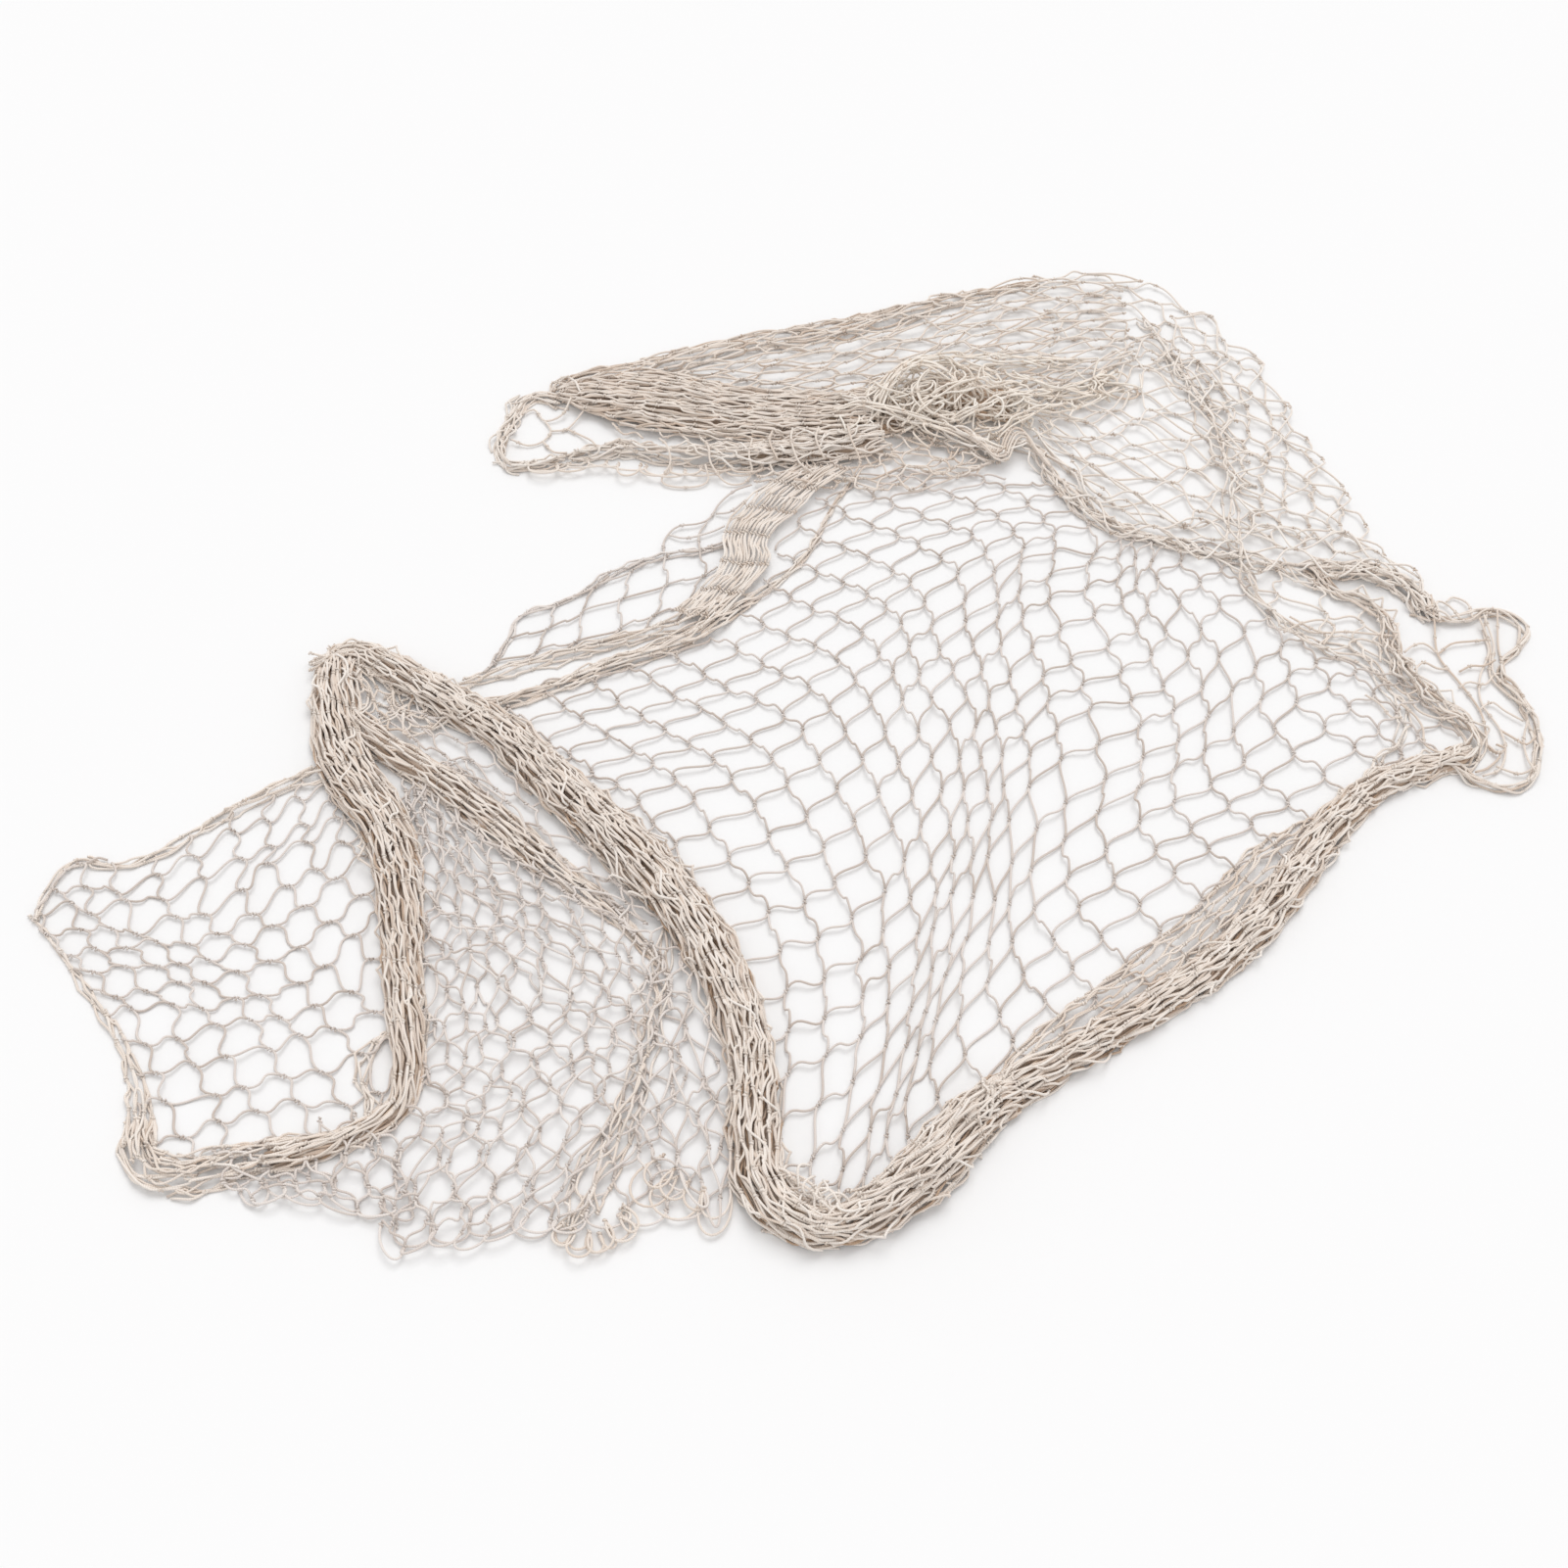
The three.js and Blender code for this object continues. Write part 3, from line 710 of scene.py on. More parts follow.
STRIP_EDGE = [
    # x, y, width, height
    (-186, 92, 3, 3), (-178, 110, 3, 3), (-173, 130, 3, 3), (-160, 137, 3, 4), (-146, 144, 4, 4),
    (-128, 157, 4, 4), (-109, 172, 5, 4), (-82, 184, 5, 4), (-58, 188, 5, 4), (-40, 196, 5, 5),
    (-30, 204, 4, 6),
]
single_strands(middle, STRIP_LOOPS)
fold(middle, STRIP_EDGE, layers=1, pitch=1.7, wild=0.5)
finish_piece(middle, "netting_middle", cool_lit_cotton)


# ------------------------------------------------------------
# The long front fold: cotton netting gathered from the peak down to the front corner, until its bars lie
# side by side in layers. Nothing ties it: it holds by its own folds and weight.


def bed(strands, rows, pitch=2.5, share=0.5, radius=1.25, tone=(0.08, 0.25)):
    """The lower layers of a fold, of which only the tops show between the strands above: thicker strands
    side by side along it, over a round back at a share of the fold's height. Their dark brown tone is
    painted shade, the shade in the gaps between the strands above."""
    rng = strands.rng
    run, line, _, left = along_rows(rows, 10.0)
    count = max(2, int(line[:, 2].max() / pitch))
    u = np.linspace(-0.68, 0.68, count)[:, None] * np.ones(len(run))
    number = np.arange(count)[:, None] + 0.0 * u
    offset = 0.5 * u * line[:, 2] + 1.2 * wave_field(rng, 50, 3)(run + 0 * u, number)
    z = share * line[:, 3] * np.sqrt(1 - u**2) - 1.0 + 0.8 * wave_field(rng, 35, 3)(run + 0 * u, number)
    x = line[:, 0] + left[:, 0] * offset
    y = line[:, 1] + left[:, 1] * offset
    paths = np.stack([x, y, np.maximum(z, 1.3)], axis=-1)
    # Painted shade: these strands take a dark brown tone.
    strands.add(paths, rng.uniform(*tone, count), radius=radius, sides=4)


BELOW_TOP = 2.6  # depth of a stray bar's ends in the fold


def stray_bars(strands, rows, per_mm):
    """Single bars that lie across a fold: short bows from one side of its round back towards the other."""
    rng = strands.rng
    run, line, ahead, left = along_rows(rows, 4.0)
    count = max(1, int(run[-1] * per_mm))
    index = rng.integers(2, len(run) - 3, count)
    ahead, left = ahead[index], left[index]
    width, height = line[index, 2], line[index, 3]
    a = rng.uniform(-0.45, 0.45, count)
    b = np.clip(a + rng.choice([-1, 1], count) * rng.uniform(0.15, 0.5, count), -0.48, 0.48)
    along = rng.uniform(14, 24, count)
    ends = []
    for u, way in ((a, -1), (b, 1)):
        top = height * (SHOULDER + (1 - SHOULDER) * np.sqrt(np.clip(1 - (2 * u) ** 2, 0, 1))) - BELOW_TOP
        foot = line[index, :2] + left * (u * width)[:, None] + way * ahead * (along / 2)[:, None]
        ends.append(np.c_[foot, top])
    turn = rng.normal(0, 0.5, (2, count))
    leave, arrive = turned(ahead, turn[0]), turned(ahead, turn[1])
    length = np.minimum(np.linalg.norm(ends[1] - ends[0], axis=1) * 1.12, BAR)
    bars = bent_bars(ends[0], ends[1], leave, arrive, length, 1.7 + rng.uniform(0.2, 1.0, count) * 1.5)
    strands.add(bars, rng.uniform(0.6, 1.0, count))


def edge_loops(strands, rows, per_mm=0.05, out=0.7):
    """Half-meshes that bulge from a fold's sides: both feet on one side, 8 to 20 mm apart, bowed outward."""
    rng = strands.rng
    run, line, ahead, left = along_rows(rows, 4.0)
    count = max(1, int(run[-1] * per_mm))
    gap = rng.integers(2, 6, count)
    index = rng.integers(1, len(run) - 8, count)
    side = rng.choice([-1, 1], count)
    feet = []
    for i in (index, index + gap):
        at = line[i, :2] + left[i] * (side * (0.5 * line[i, 2] - rng.uniform(1, 4, count)))[:, None]
        feet.append(np.c_[at, rng.uniform(1.0, 0.5 * line[i, 3])])
    away = left[index] * side[:, None]
    turn = rng.uniform(0.2, 0.5, count)[:, None] * out
    leave = unit(np.c_[ahead[index] * (1 - turn) + away * turn * 2, rng.uniform(-0.1, 0.3, count)])
    arrive = unit(np.c_[ahead[index] * (1 - turn) - away * turn * 2, rng.uniform(-0.3, 0.1, count)])
    chord = np.linalg.norm(feet[1] - feet[0], axis=1)
    length = np.minimum(chord * rng.uniform(1.1, 1.6, count), BAR)
    bars = bent_bars(feet[0], feet[1], leave, arrive, length, rng.uniform(0, 2.5, count), points=10)
    strands.add(bars, rng.uniform(0.4, 0.9, count))


# The dark end of this ramp is painted shade, the warm brown of the gaps deep in a fold.
gathered_cotton = cotton(
    "cotton_twine", (0.56, 0.385, 0.26, 1), (0.86, 0.75, 0.66, 1), (0.99, 0.925, 0.865, 1)
)
front = Strands(14)
FRONT_FOLD = [
    # x, y, width, height
    (-296, 90, 16, 8), (-274, 100, 20, 10), (-245, 84, 24, 13), (-216, 64, 27, 15), (-174, 34, 29, 16),
    (-133, -9, 32, 17), (-93, -50, 34, 18), (-56, -97, 33, 18), (-32, -143, 30, 18), (-18, -192, 28, 17),
    (-16, -238, 30, 17), (-9, -268, 30, 18), (16, -287, 24, 19), (52, -280, 20, 12),
]
fold(front, FRONT_FOLD, slant=-0.07, wild=0.55, slack=0.13)
bed(front, FRONT_FOLD)
stray_bars(front, FRONT_FOLD, per_mm=0.05)
edge_loops(front, FRONT_FOLD, per_mm=0.05, out=0.4)
finish_piece(front, "netting_front_fold", gathered_cotton)


# ------------------------------------------------------------
# The right fold: the same gathered cotton netting, from the front corner along the right side to the tip,
# with the branch that leaves it and comes back, and skeins that ride over one another at the corner.
LIFT = 2.5  # of a tangled bar's middle over its ends, which lie that much lower
LOWEST = 1.2


def tangle(strands, rows, count, curl=1.0, reach=26.0):
    """Twine heaped without order inside a fold's rounded form: bars that start anywhere in it, each bent by
    its own two directions. The deeper a bar starts, the darker its tone: painted shade."""
    rng = strands.rng
    run, line, _, left = along_rows(rows, 3.0)
    index = rng.integers(0, len(run), count)
    u = rng.uniform(-0.85, 0.85, count)
    top = line[index, 3] * (0.25 + 0.75 * np.sqrt(1 - u**2)) - RADIUS
    deep = rng.uniform(0, 1, count) ** 1.6
    foot = line[index, :2] + left[index] * (0.5 * u * line[index, 2])[:, None]
    start = np.c_[foot, np.maximum(top * (1 - 0.7 * deep) - LIFT, LOWEST)]
    heading = rng.uniform(0, 2 * np.pi, count)
    chord = rng.uniform(10, reach, count)
    end = start + np.c_[chord * np.cos(heading), chord * np.sin(heading), rng.uniform(-2, 2, count)]
    end[:, 2] = np.clip(end[:, 2], LOWEST, line[index, 3] - LIFT)
    bow = curl * rng.uniform(0.5, 1.3, count) * rng.choice([-1, 1], count)
    off_a, off_b = np.array([bow, -bow]) + rng.normal(0, 0.25, (2, count))
    leave = np.c_[np.cos(heading + off_a), np.sin(heading + off_a), rng.uniform(-0.2, 0.4, count)]
    arrive = np.c_[np.cos(heading + off_b), np.sin(heading + off_b), rng.uniform(-0.4, 0.2, count)]
    length = np.minimum(chord * rng.uniform(1.15, 1.9, count), 1.6 * BAR)
    bars = bent_bars(start, end, unit(leave), unit(arrive), length, np.full(count, LIFT), points=12)
    # Painted shade: the deeper a bar starts, the darker its tone.
    strands.add(bars, np.clip(1.0 - 0.6 * deep + rng.uniform(-0.1, 0.1, count), 0, 1))


edge = Strands(24)
RIGHT_FOLD = [
    # x, y, width, height
    (-2, -282, 18, 9), (20, -288, 22, 18), (45, -281, 25, 20), (76, -256, 34, 22), (100, -229, 31, 20),
    (127, -207, 24, 16), (173, -179, 20, 13), (210, -155, 22, 13), (244, -131, 23, 14),
    (277, -100, 24, 14), (304, -66, 24, 13), (335, -27, 23, 12), (368, 0, 20, 11), (400, 12, 16, 10),
    (424, 24, 13, 9),
]
TIP_RETURN = [
    # x, y, width, height
    (380, 6, 12, 9), (402, 11, 13, 9), (422, 18, 13, 9), (429, 32, 12, 9), (422, 46, 12, 9),
    (406, 66, 12, 10), (392, 92, 11, 10), (391, 120, 10, 9), (385, 140, 9, 9), (364, 150, 8, 8),
    (347, 172, 7, 8),
]
BRANCH = [
    # x, y, width, height
    (120, -203, 9, 9), (138, -184, 15, 9), (172, -159, 22, 8), (208, -135, 27, 7), (250, -100, 29, 8),
    (286, -62, 28, 9), (318, -34, 18, 7), (332, -24, 8, 3),
]
fold(edge, RIGHT_FOLD, slant=-0.07, wild=0.62)
bed(edge, RIGHT_FOLD)
fold(edge, TIP_RETURN, layers=2, pitch=2.2, wild=1.3)
edge_loops(edge, TIP_RETURN, per_mm=0.09, out=0.7)
fold(edge, BRANCH, layers=1, wild=0.6, pitch=2.5, tone=(0.25, 0.65))
CORNER_SKEINS = [
    # runs of x, y, width and height of each skein's top
    [(60, -264, 8, 12), (78, -247, 10, 24), (96, -230, 10, 25), (112, -216, 9, 20), (128, -206, 7, 8)],
    [(44, -272, 9, 18), (60, -268, 10, 24), (76, -262, 10, 25), (92, -248, 9, 21), (102, -235, 7, 8)],
    [(106, -236, 6, 6), (110, -224, 9, 23), (111, -213, 9, 21), (112, -205, 6, 4)],
    [(0, -262, 9, 15), (10, -268, 9, 21), (18, -280, 9, 22), (30, -290, 8, 17)],
    [(-6, -270, 8, 14), (6, -278, 8, 20), (20, -290, 8, 18), (40, -290, 8, 14)],
    [(72, -239, 3, 2), (76, -243, 4, 16), (83, -249, 4, 25), (89, -256, 4, 14), (92, -259, 3, 2)],
    [(93, -216, 3, 2), (97, -220, 4, 16), (103, -226, 4, 24), (106, -235, 4, 14), (105, -240, 3, 2)],
    [(46, -268, 4, 9), (60, -266, 4, 23), (76, -264, 4, 18), (86, -262, 3, 4)],
]
for skein in CORNER_SKEINS:
    fold(edge, skein, layers=1, pitch=1.9, wild=0.5, shoulder=0.7)
CORNER_TANGLE = [(-2, -264, 10, 12), (8, -271, 12, 18), (20, -277, 12, 20), (34, -274, 12, 17)]
tangle(edge, CORNER_TANGLE, 26, curl=1.5, reach=15)
stray_bars(edge, RIGHT_FOLD, per_mm=0.06)
edge_loops(edge, RIGHT_FOLD, per_mm=0.04, out=0.4)
finish_piece(edge, "netting_right_fold", gathered_cotton)


# ------------------------------------------------------------
# The left folds: cotton netting gathered from the peak down the left, with curls at the peak, a small side
# loop, the middle fold and the drawn-in edges of the left panel. The last meshes hang free as a hem.


def hem_loops(strands, rows, pitch, length, height=1.0):
    """The free edge of the netting: the last bars have no knot between them, so each mesh hangs out as a
    round loop. Rows are x, y along the edge, and the loops hang to its right."""
    rng = strands.rng
    _, line, _, left = along_rows(rows, pitch)
    feet = line[:, :2] + rng.normal(0, 1.6, (len(line), 2))
    knots = np.c_[feet, np.full(len(feet), height + 1.0)]
    out = np.c_[-left, np.zeros(len(left))]
    hanging_loops(strands, knots, out, length * rng.uniform(0.75, 1.1, len(feet) - 1))
    add_knots(strands, knots, out, rng.uniform(0.3, 0.6, len(feet)))


folds = Strands(15)
LEFT_FOLD = [
    # x, y, width, height
    (-284, 98, 24, 9), (-283, 72, 30, 14), (-276, 34, 34, 16), (-263, 0, 35, 17), (-243, -28, 33, 17),
    (-231, -58, 30, 16), (-223, -96, 27, 16), (-216, -146, 23, 16), (-209, -190, 20, 14),
    (-209, -213, 16, 11), (-223, -228, 14, 10), (-248, -240, 16, 10), (-278, -247, 22, 10),
]
PEAK_CURLS = [
    # runs of x, y, width and height of each curl's top
    [(-293, 94, 5, 9), (-270, 90, 5, 8), (-256, 79, 5, 6), (-248, 66, 4, 4), (-240, 58, 4, 4)],
    [(-288, 88, 6, 11), (-272, 82, 5, 7), (-262, 68, 4, 4), (-262, 54, 4, 5), (-268, 42, 5, 12)],
    [(-252, 60, 4, 4), (-241, 52, 5, 5), (-229, 51, 5, 6), (-223, 59, 4, 7), (-231, 67, 4, 7),
     (-245, 64, 4, 5)],
    [(-266, 38, 5, 12), (-251, 45, 5, 8), (-237, 55, 5, 5), (-226, 63, 5, 7), (-214, 64, 5, 12)],
    [(-227, 49, 4, 6), (-216, 43, 4, 5), (-206, 51, 4, 8), (-199, 58, 4, 13)],
    [(-248, 69, 4, 5), (-237, 75, 4, 8), (-227, 72, 4, 10), (-218, 65, 4, 12)],
    [(-238, 54, 4, 6), (-240, 44, 5, 5), (-231, 36, 5, 6), (-217, 38, 4, 6), (-206, 48, 4, 10)],
    [(-282, 102, 5, 10), (-262, 92, 5, 9), (-250, 80, 4, 8), (-236, 72, 4, 9)],
]
PEAK_NETTING = [
    # x, y of the left side, x, y of the right side
    (-280, 90, -246, 86), (-272, 72, -234, 64), (-268, 52, -224, 50), (-262, 30, -212, 36),
]
LEFT_CORNER = [
    # x, y, width, height
    (-262, -243, 14, 9), (-288, -248, 20, 9), (-314, -256, 28, 8), (-334, -256, 26, 8),
    (-348, -246, 20, 8), (-352, -224, 16, 6), (-361, -196, 10, 5), (-378, -168, 6, 4), (-398, -142, 5, 4),
    (-420, -116, 4, 4), (-436, -98, 4, 4),
]
SIDE_LOOP = [
    # x, y, width, height
    (-214, -166, 7, 6), (-233, -186, 7, 6), (-233, -208, 8, 6), (-225, -226, 10, 7), (-238, -239, 10, 7),
]
LEFT_EDGE = [
    # x, y, width, height
    (-436, -98, 4, 4), (-434, -78, 4, 4), (-424, -60, 5, 4), (-408, -56, 5, 4), (-392, -62, 5, 4),
    (-372, -50, 6, 4), (-340, -26, 7, 5), (-306, -3, 10, 6), (-282, 8, 14, 8),
]
MIDDLE_FOLD = [
    # x, y, width, height
    (-264, 42, 20, 13), (-242, 22, 21, 12), (-215, 4, 23, 11), (-178, -26, 24, 10), (-141, -59, 21, 8),
    (-114, -82, 14, 6), (-88, -107, 8, 4), (-70, -130, 3, 4),
]
UPPER_STRANDS = [
    # x, y, width, height
    (-206, 76, 10, 5), (-157, 94, 10, 5), (-104, 112, 10, 6), (-66, 126, 12, 7), (-44, 134, 14, 8),
]
LOWER_STRANDS = [
    # x, y, width, height
    (-196, 54, 12, 6), (-150, 72, 11, 6), (-108, 92, 12, 7), (-72, 108, 14, 8), (-42, 126, 14, 9),
    (-26, 145, 6, 5), (-2, 163, 4, 4), (18, 190, 3, 4), (30, 222, 3, 4), (44, 250, 3, 5),
]
FRONT_GATHERS = [
    # x, y, width, height
    (-68, -108, 8, 6), (-72, -150, 10, 6), (-78, -190, 13, 7), (-88, -226, 17, 7), (-100, -254, 24, 8),
    (-106, -282, 20, 6),
]
CORNER_HEM = [(-66, -250), (-58, -260), (-46, -266), (-30, -266)]
GATHER_HEM = [(-114, -284), (-104, -290), (-94, -286), (-84, -276)]
fold(folds, LEFT_FOLD, slant=0.09, wild=0.5, slack=0.06, tone=(0.25, 0.8))
bed(folds, LEFT_FOLD)
bed(folds, MIDDLE_FOLD[:5])
for curl in PEAK_CURLS:
    fold(folds, curl, layers=1, pitch=2.0, wild=0.6, shoulder=0.7)
long_meshes(folds, PEAK_NETTING, 7, pitch=14, wobble=1.6, height=1.5, turn_by=0.5, slack=0.3)
fold(folds, LEFT_CORNER[:6], layers=2, wild=1.2, pitch=2.8)
fold(folds, LEFT_CORNER[4:], layers=1, wild=0.6, pitch=2.0)
stray_bars(folds, LEFT_FOLD, per_mm=0.05)
edge_loops(folds, LEFT_FOLD, per_mm=0.04, out=0.4)
fold(folds, SIDE_LOOP, layers=1, pitch=1.9)
fold(folds, LEFT_EDGE, layers=1, wild=0.6, pitch=1.9)
fold(folds, MIDDLE_FOLD, layers=2, wild=0.45, slack=0.06, pitch=2.0)
fold(folds, UPPER_STRANDS, layers=1, wild=0.6)
fold(folds, LOWER_STRANDS, layers=2, wild=0.6)
fold(folds, FRONT_GATHERS, layers=1, wild=1.1, pitch=2.9)
hem_loops(folds, CORNER_HEM, pitch=12, length=44, height=3.0)
hem_loops(folds, CORNER_HEM, pitch=19, length=60, height=2.0)
hem_loops(folds, GATHER_HEM, pitch=6, length=30)
hem_loops(folds, GATHER_HEM, pitch=7, length=38, height=3.0)
finish_piece(folds, "netting_left_folds", gathered_cotton)


# ------------------------------------------------------------
# The wing: two layers of the cotton netting folded back over the top edge, drawn together at the left end
# and fanning out to the right, thicker along its heart and its back edge.
wing = Strands(16)
WING_UPPER = [
    # x, y of the front side, x, y of the back side
    (-158, 331, -158, 342), (-130, 320, -134, 356), (-90, 304, -98, 370), (-40, 298, -44, 392),
    (20, 300, 14, 406), (80, 306, 76, 424), (150, 330, 142, 446), (204, 346, 204, 461),
    (246, 364, 254, 458),
]
WING_LOWER = [
    # x, y of the front side, x, y of the back side
    (-157, 329, -156, 340), (-120, 308, -126, 350), (-60, 296, -66, 374), (0, 290, -4, 394),
    (70, 300, 66, 414), (150, 320, 146, 440), (196, 328, 196, 450),
]
WING_HEART = [
    # x, y, width, height
    (-154, 336, 16, 9), (-130, 332, 38, 13), (-90, 326, 58, 13), (-40, 316, 52, 12), (10, 313, 48, 12),
    (60, 314, 40, 14),
]
WING_TOP = [
    # x, y, width, height
    (-160, 348, 10, 7), (-98, 364, 18, 7), (-34, 386, 20, 6), (48, 406, 20, 6), (120, 434, 14, 5),
    (190, 455, 6, 4),
]
WING_END = [
    # x, y, width, height
    (-165, 337, 5, 3), (-162, 345, 6, 6), (-158, 349, 6, 9), (-152, 344, 7, 11), (-146, 336, 7, 12),
]
# Painted light: the upper layer is given a paler tone than the one under it.
long_meshes(wing, WING_UPPER, 21, height=1.8, thick=2.5, wobble=1.4, slack=0.12, tone=(0.4, 0.8))
long_meshes(wing, WING_LOWER, 11, thick=2.5, wobble=1.4, slack=0.15)
fold(wing, WING_HEART, layers=2, shoulder=0.5, wild=0.6, pitch=1.8, tone=(0.3, 0.75))
bed(wing, WING_HEART, pitch=3.2)
fold(wing, WING_TOP, layers=1, pitch=2.2, wild=0.6, tone=(0.15, 0.6))
fold(wing, WING_END, layers=1, pitch=1.7, wild=0.3)
finish_piece(wing, "netting_wing", gathered_cotton)


# ------------------------------------------------------------
# The wing's end loop: the gathered front edge of the wing, bent back on itself at the left end, with single
# strands over the gap it leaves and the meshes at its foot. It is the same cotton, lying loose.
loop = Strands(26)
WING_LOOP = [
    # x, y, width, height
    (-157, 329, 14, 7), (-184, 331, 9, 5), (-191, 309, 8, 5), (-198, 283, 8, 6), (-192, 269, 8, 6),
    (-176, 266, 8, 6), (-150, 273, 9, 8), (-112, 282, 13, 10), (-76, 276, 15, 11), (-30, 274, 20, 12),
    (20, 280, 28, 14), (66, 290, 32, 16),
]
LOOP_HEM = [(-176, 264), (-120, 268), (-84, 262), (-50, 262), (-16, 262)]
HOLE_STRANDS = [
    # runs of x, y and height
    [(-184, 316, 2), (-176, 321, 1), (-168, 310, 1), (-156, 314, 3), (-150, 327, 7)],
    [(-168, 310, 1), (-163, 300, 1), (-168, 290, 1), (-178, 286, 1), (-190, 290, 3)],
    [(-163, 300, 1), (-152, 302, 1), (-144, 312, 3), (-137, 323, 7)],
    [(-168, 290, 1), (-160, 280, 1), (-150, 276, 4)],
    [(-152, 302, 1), (-142, 296, 1), (-134, 288, 4), (-130, 280, 7)],
    [(-120, 304, 5), (-112, 296, 2), (-104, 298, 2), (-98, 288, 6)],
    [(-88, 300, 5), (-84, 292, 3), (-74, 296, 2), (-66, 286, 6)],
    [(-60, 298, 5), (-56, 288, 3), (-44, 294, 2), (-36, 286, 6)],
    [(-30, 296, 5), (-22, 288, 3), (-12, 292, 4)],
    [(-86, 284, 10), (-80, 274, 12), (-78, 262, 8), (-84, 252, 2), (-76, 247, 1), (-60, 247, 1),
     (-52, 252, 2), (-54, 262, 7)],
    [(-58, 285, 10), (-52, 274, 12), (-50, 262, 8), (-40, 250, 2), (-28, 250, 1), (-22, 258, 4),
     (-24, 268, 10), (-22, 284, 10)],
    [(-8, 290, 11), (-10, 278, 13), (-4, 264, 9)],
    [(6, 292, 12), (5, 278, 14), (10, 262, 10), (20, 254, 7)],
    [(24, 292, 13), (22, 278, 15), (28, 264, 10)],
    [(44, 292, 15), (46, 278, 16), (52, 262, 10), (48, 254, 6)],
]
fold(loop, WING_LOOP[:7], layers=2, wild=0.5, pitch=1.7, tone=(0.4, 0.95))
fold(loop, WING_LOOP[6:], layers=2, wild=1.1, pitch=1.9, tone=(0.5, 1.0))
bed(loop, WING_LOOP[9:], pitch=2.6, share=0.4)
stray_bars(loop, WING_LOOP, per_mm=0.12)
hem_loops(loop, LOOP_HEM, pitch=20, length=32, height=3.0)
hem_loops(loop, LOOP_HEM, pitch=26, length=36, height=2.0)
single_strands(loop, HOLE_STRANDS)
WING_FOOT = [
    # x, y of the front side, x, y of the back side
    (-16, 250, -6, 292), (30, 244, 34, 296), (76, 242, 86, 300), (112, 248, 122, 294),
    (138, 264, 146, 284),
]
long_meshes(loop, WING_FOOT, 8, pitch=20, wobble=1.8, height=1.0, turn_by=0.5, slack=0.35)
long_meshes(loop, WING_FOOT, 6, pitch=17, wobble=2.2, height=3.0, turn_by=0.6, slack=0.4)
finish_piece(loop, "netting_wing_loop", gathered_cotton)


# ------------------------------------------------------------
# The right of the wing: two open layers of the cotton netting laid across each other, the folds round them,
# and the loose ring and single strands of the gathered right corner.
right = Strands(17)
RIGHT_FIELD = [
    # x, y of the front side, x, y of the back side
    (176, 280, 186, 350), (212, 238, 222, 366), (252, 214, 262, 392), (304, 206, 296, 366),
    (326, 200, 314, 350),
]
RIGHT_MARGIN = [
    # x, y of the left side, x, y of the right side
    (192, 384, 190, 462), (232, 382, 250, 460), (262, 370, 296, 434), (284, 346, 334, 384),
    (298, 312, 354, 330), (306, 274, 368, 280), (312, 236, 384, 238), (318, 198, 396, 188),
]
SIDE_FIELD = [
    # x, y of the left side, x, y of the right side
    (302, 166, 350, 173), (318, 134, 378, 145), (344, 108, 391, 115), (368, 90, 398, 88),
]
FRONT_BAND = [
    # x, y of the front side, x, y of the back side
    (186, 236, 200, 262), (214, 206, 228, 232), (250, 190, 260, 216), (300, 170, 306, 210),
    (350, 160, 360, 206), (390, 160, 402, 186), (408, 148, 420, 160), (412, 134, 424, 138),
]
# Painted light: the tones here are set paler than the defaults, and palest on the upper layers, to offset
# the shade the layers cast on one another.
long_meshes(right, RIGHT_FIELD, 13, pitch=23, wobble=1.4, slack=0.12, tone=(0.5, 0.9))
long_meshes(right, RIGHT_FIELD, 10, pitch=20, wobble=1.8, height=2.0, slack=0.14, tone=(0.6, 1.0))
long_meshes(right, RIGHT_MARGIN, 8, pitch=19, wobble=1.3, turn_by=0.35, slack=0.2, tone=(0.5, 0.9))
long_meshes(
    right, RIGHT_MARGIN[2:], 3, pitch=21, wobble=1.6, height=2.0, turn_by=0.35, slack=0.2, tone=(0.6, 1.0)
)
long_meshes(right, FRONT_BAND, 5, pitch=23, wobble=1.2, height=1.5, slack=0.1, tone=(0.7, 1.0))
long_meshes(right, FRONT_BAND, 2, pitch=24, wobble=1.4, height=4.0, thick=3.0, slack=0.1, tone=(0.7, 1.0))
long_meshes(right, SIDE_FIELD, 4, pitch=19, wobble=1.4, turn_by=0.5, slack=0.25, tone=(0.5, 0.9))
TANGLE_FRONT = [
    # x, y, width, height
    (40, 322, 12, 16), (90, 302, 12, 16), (124, 286, 12, 14), (146, 274, 10, 11), (162, 284, 9, 10),
    (172, 280, 10, 9), (186, 252, 12, 8), (206, 222, 12, 8), (228, 206, 8, 8), (262, 193, 6, 6),
    (300, 180, 6, 7), (346, 172, 10, 8), (384, 168, 16, 10), (406, 160, 16, 10), (412, 148, 16, 9),
    (420, 130, 13, 8),
]
GATHER_DIP = [
    # x, y, height
    (126, 286, 10), (138, 275, 10), (146, 266, 8), (154, 267, 8), (158, 277, 9), (163, 286, 9),
    (170, 284, 9), (176, 270, 8), (184, 256, 7),
]
TIP_RING = [
    # x, y, width, height
    (418, 134, 9, 8), (424, 127, 9, 7), (438, 127, 9, 6), (455, 132, 8, 6), (470, 138, 7, 6),
    (478, 128, 6, 6), (479, 114, 6, 6), (471, 105, 5, 6), (459, 95, 5, 6), (456, 81, 5, 6),
    (463, 68, 6, 6), (467, 49, 6, 6), (467, 28, 6, 6), (460, 7, 6, 6), (449, -5, 6, 6), (438, -7, 6, 6),
    (425, 2, 7, 6), (412, 12, 8, 7),
]
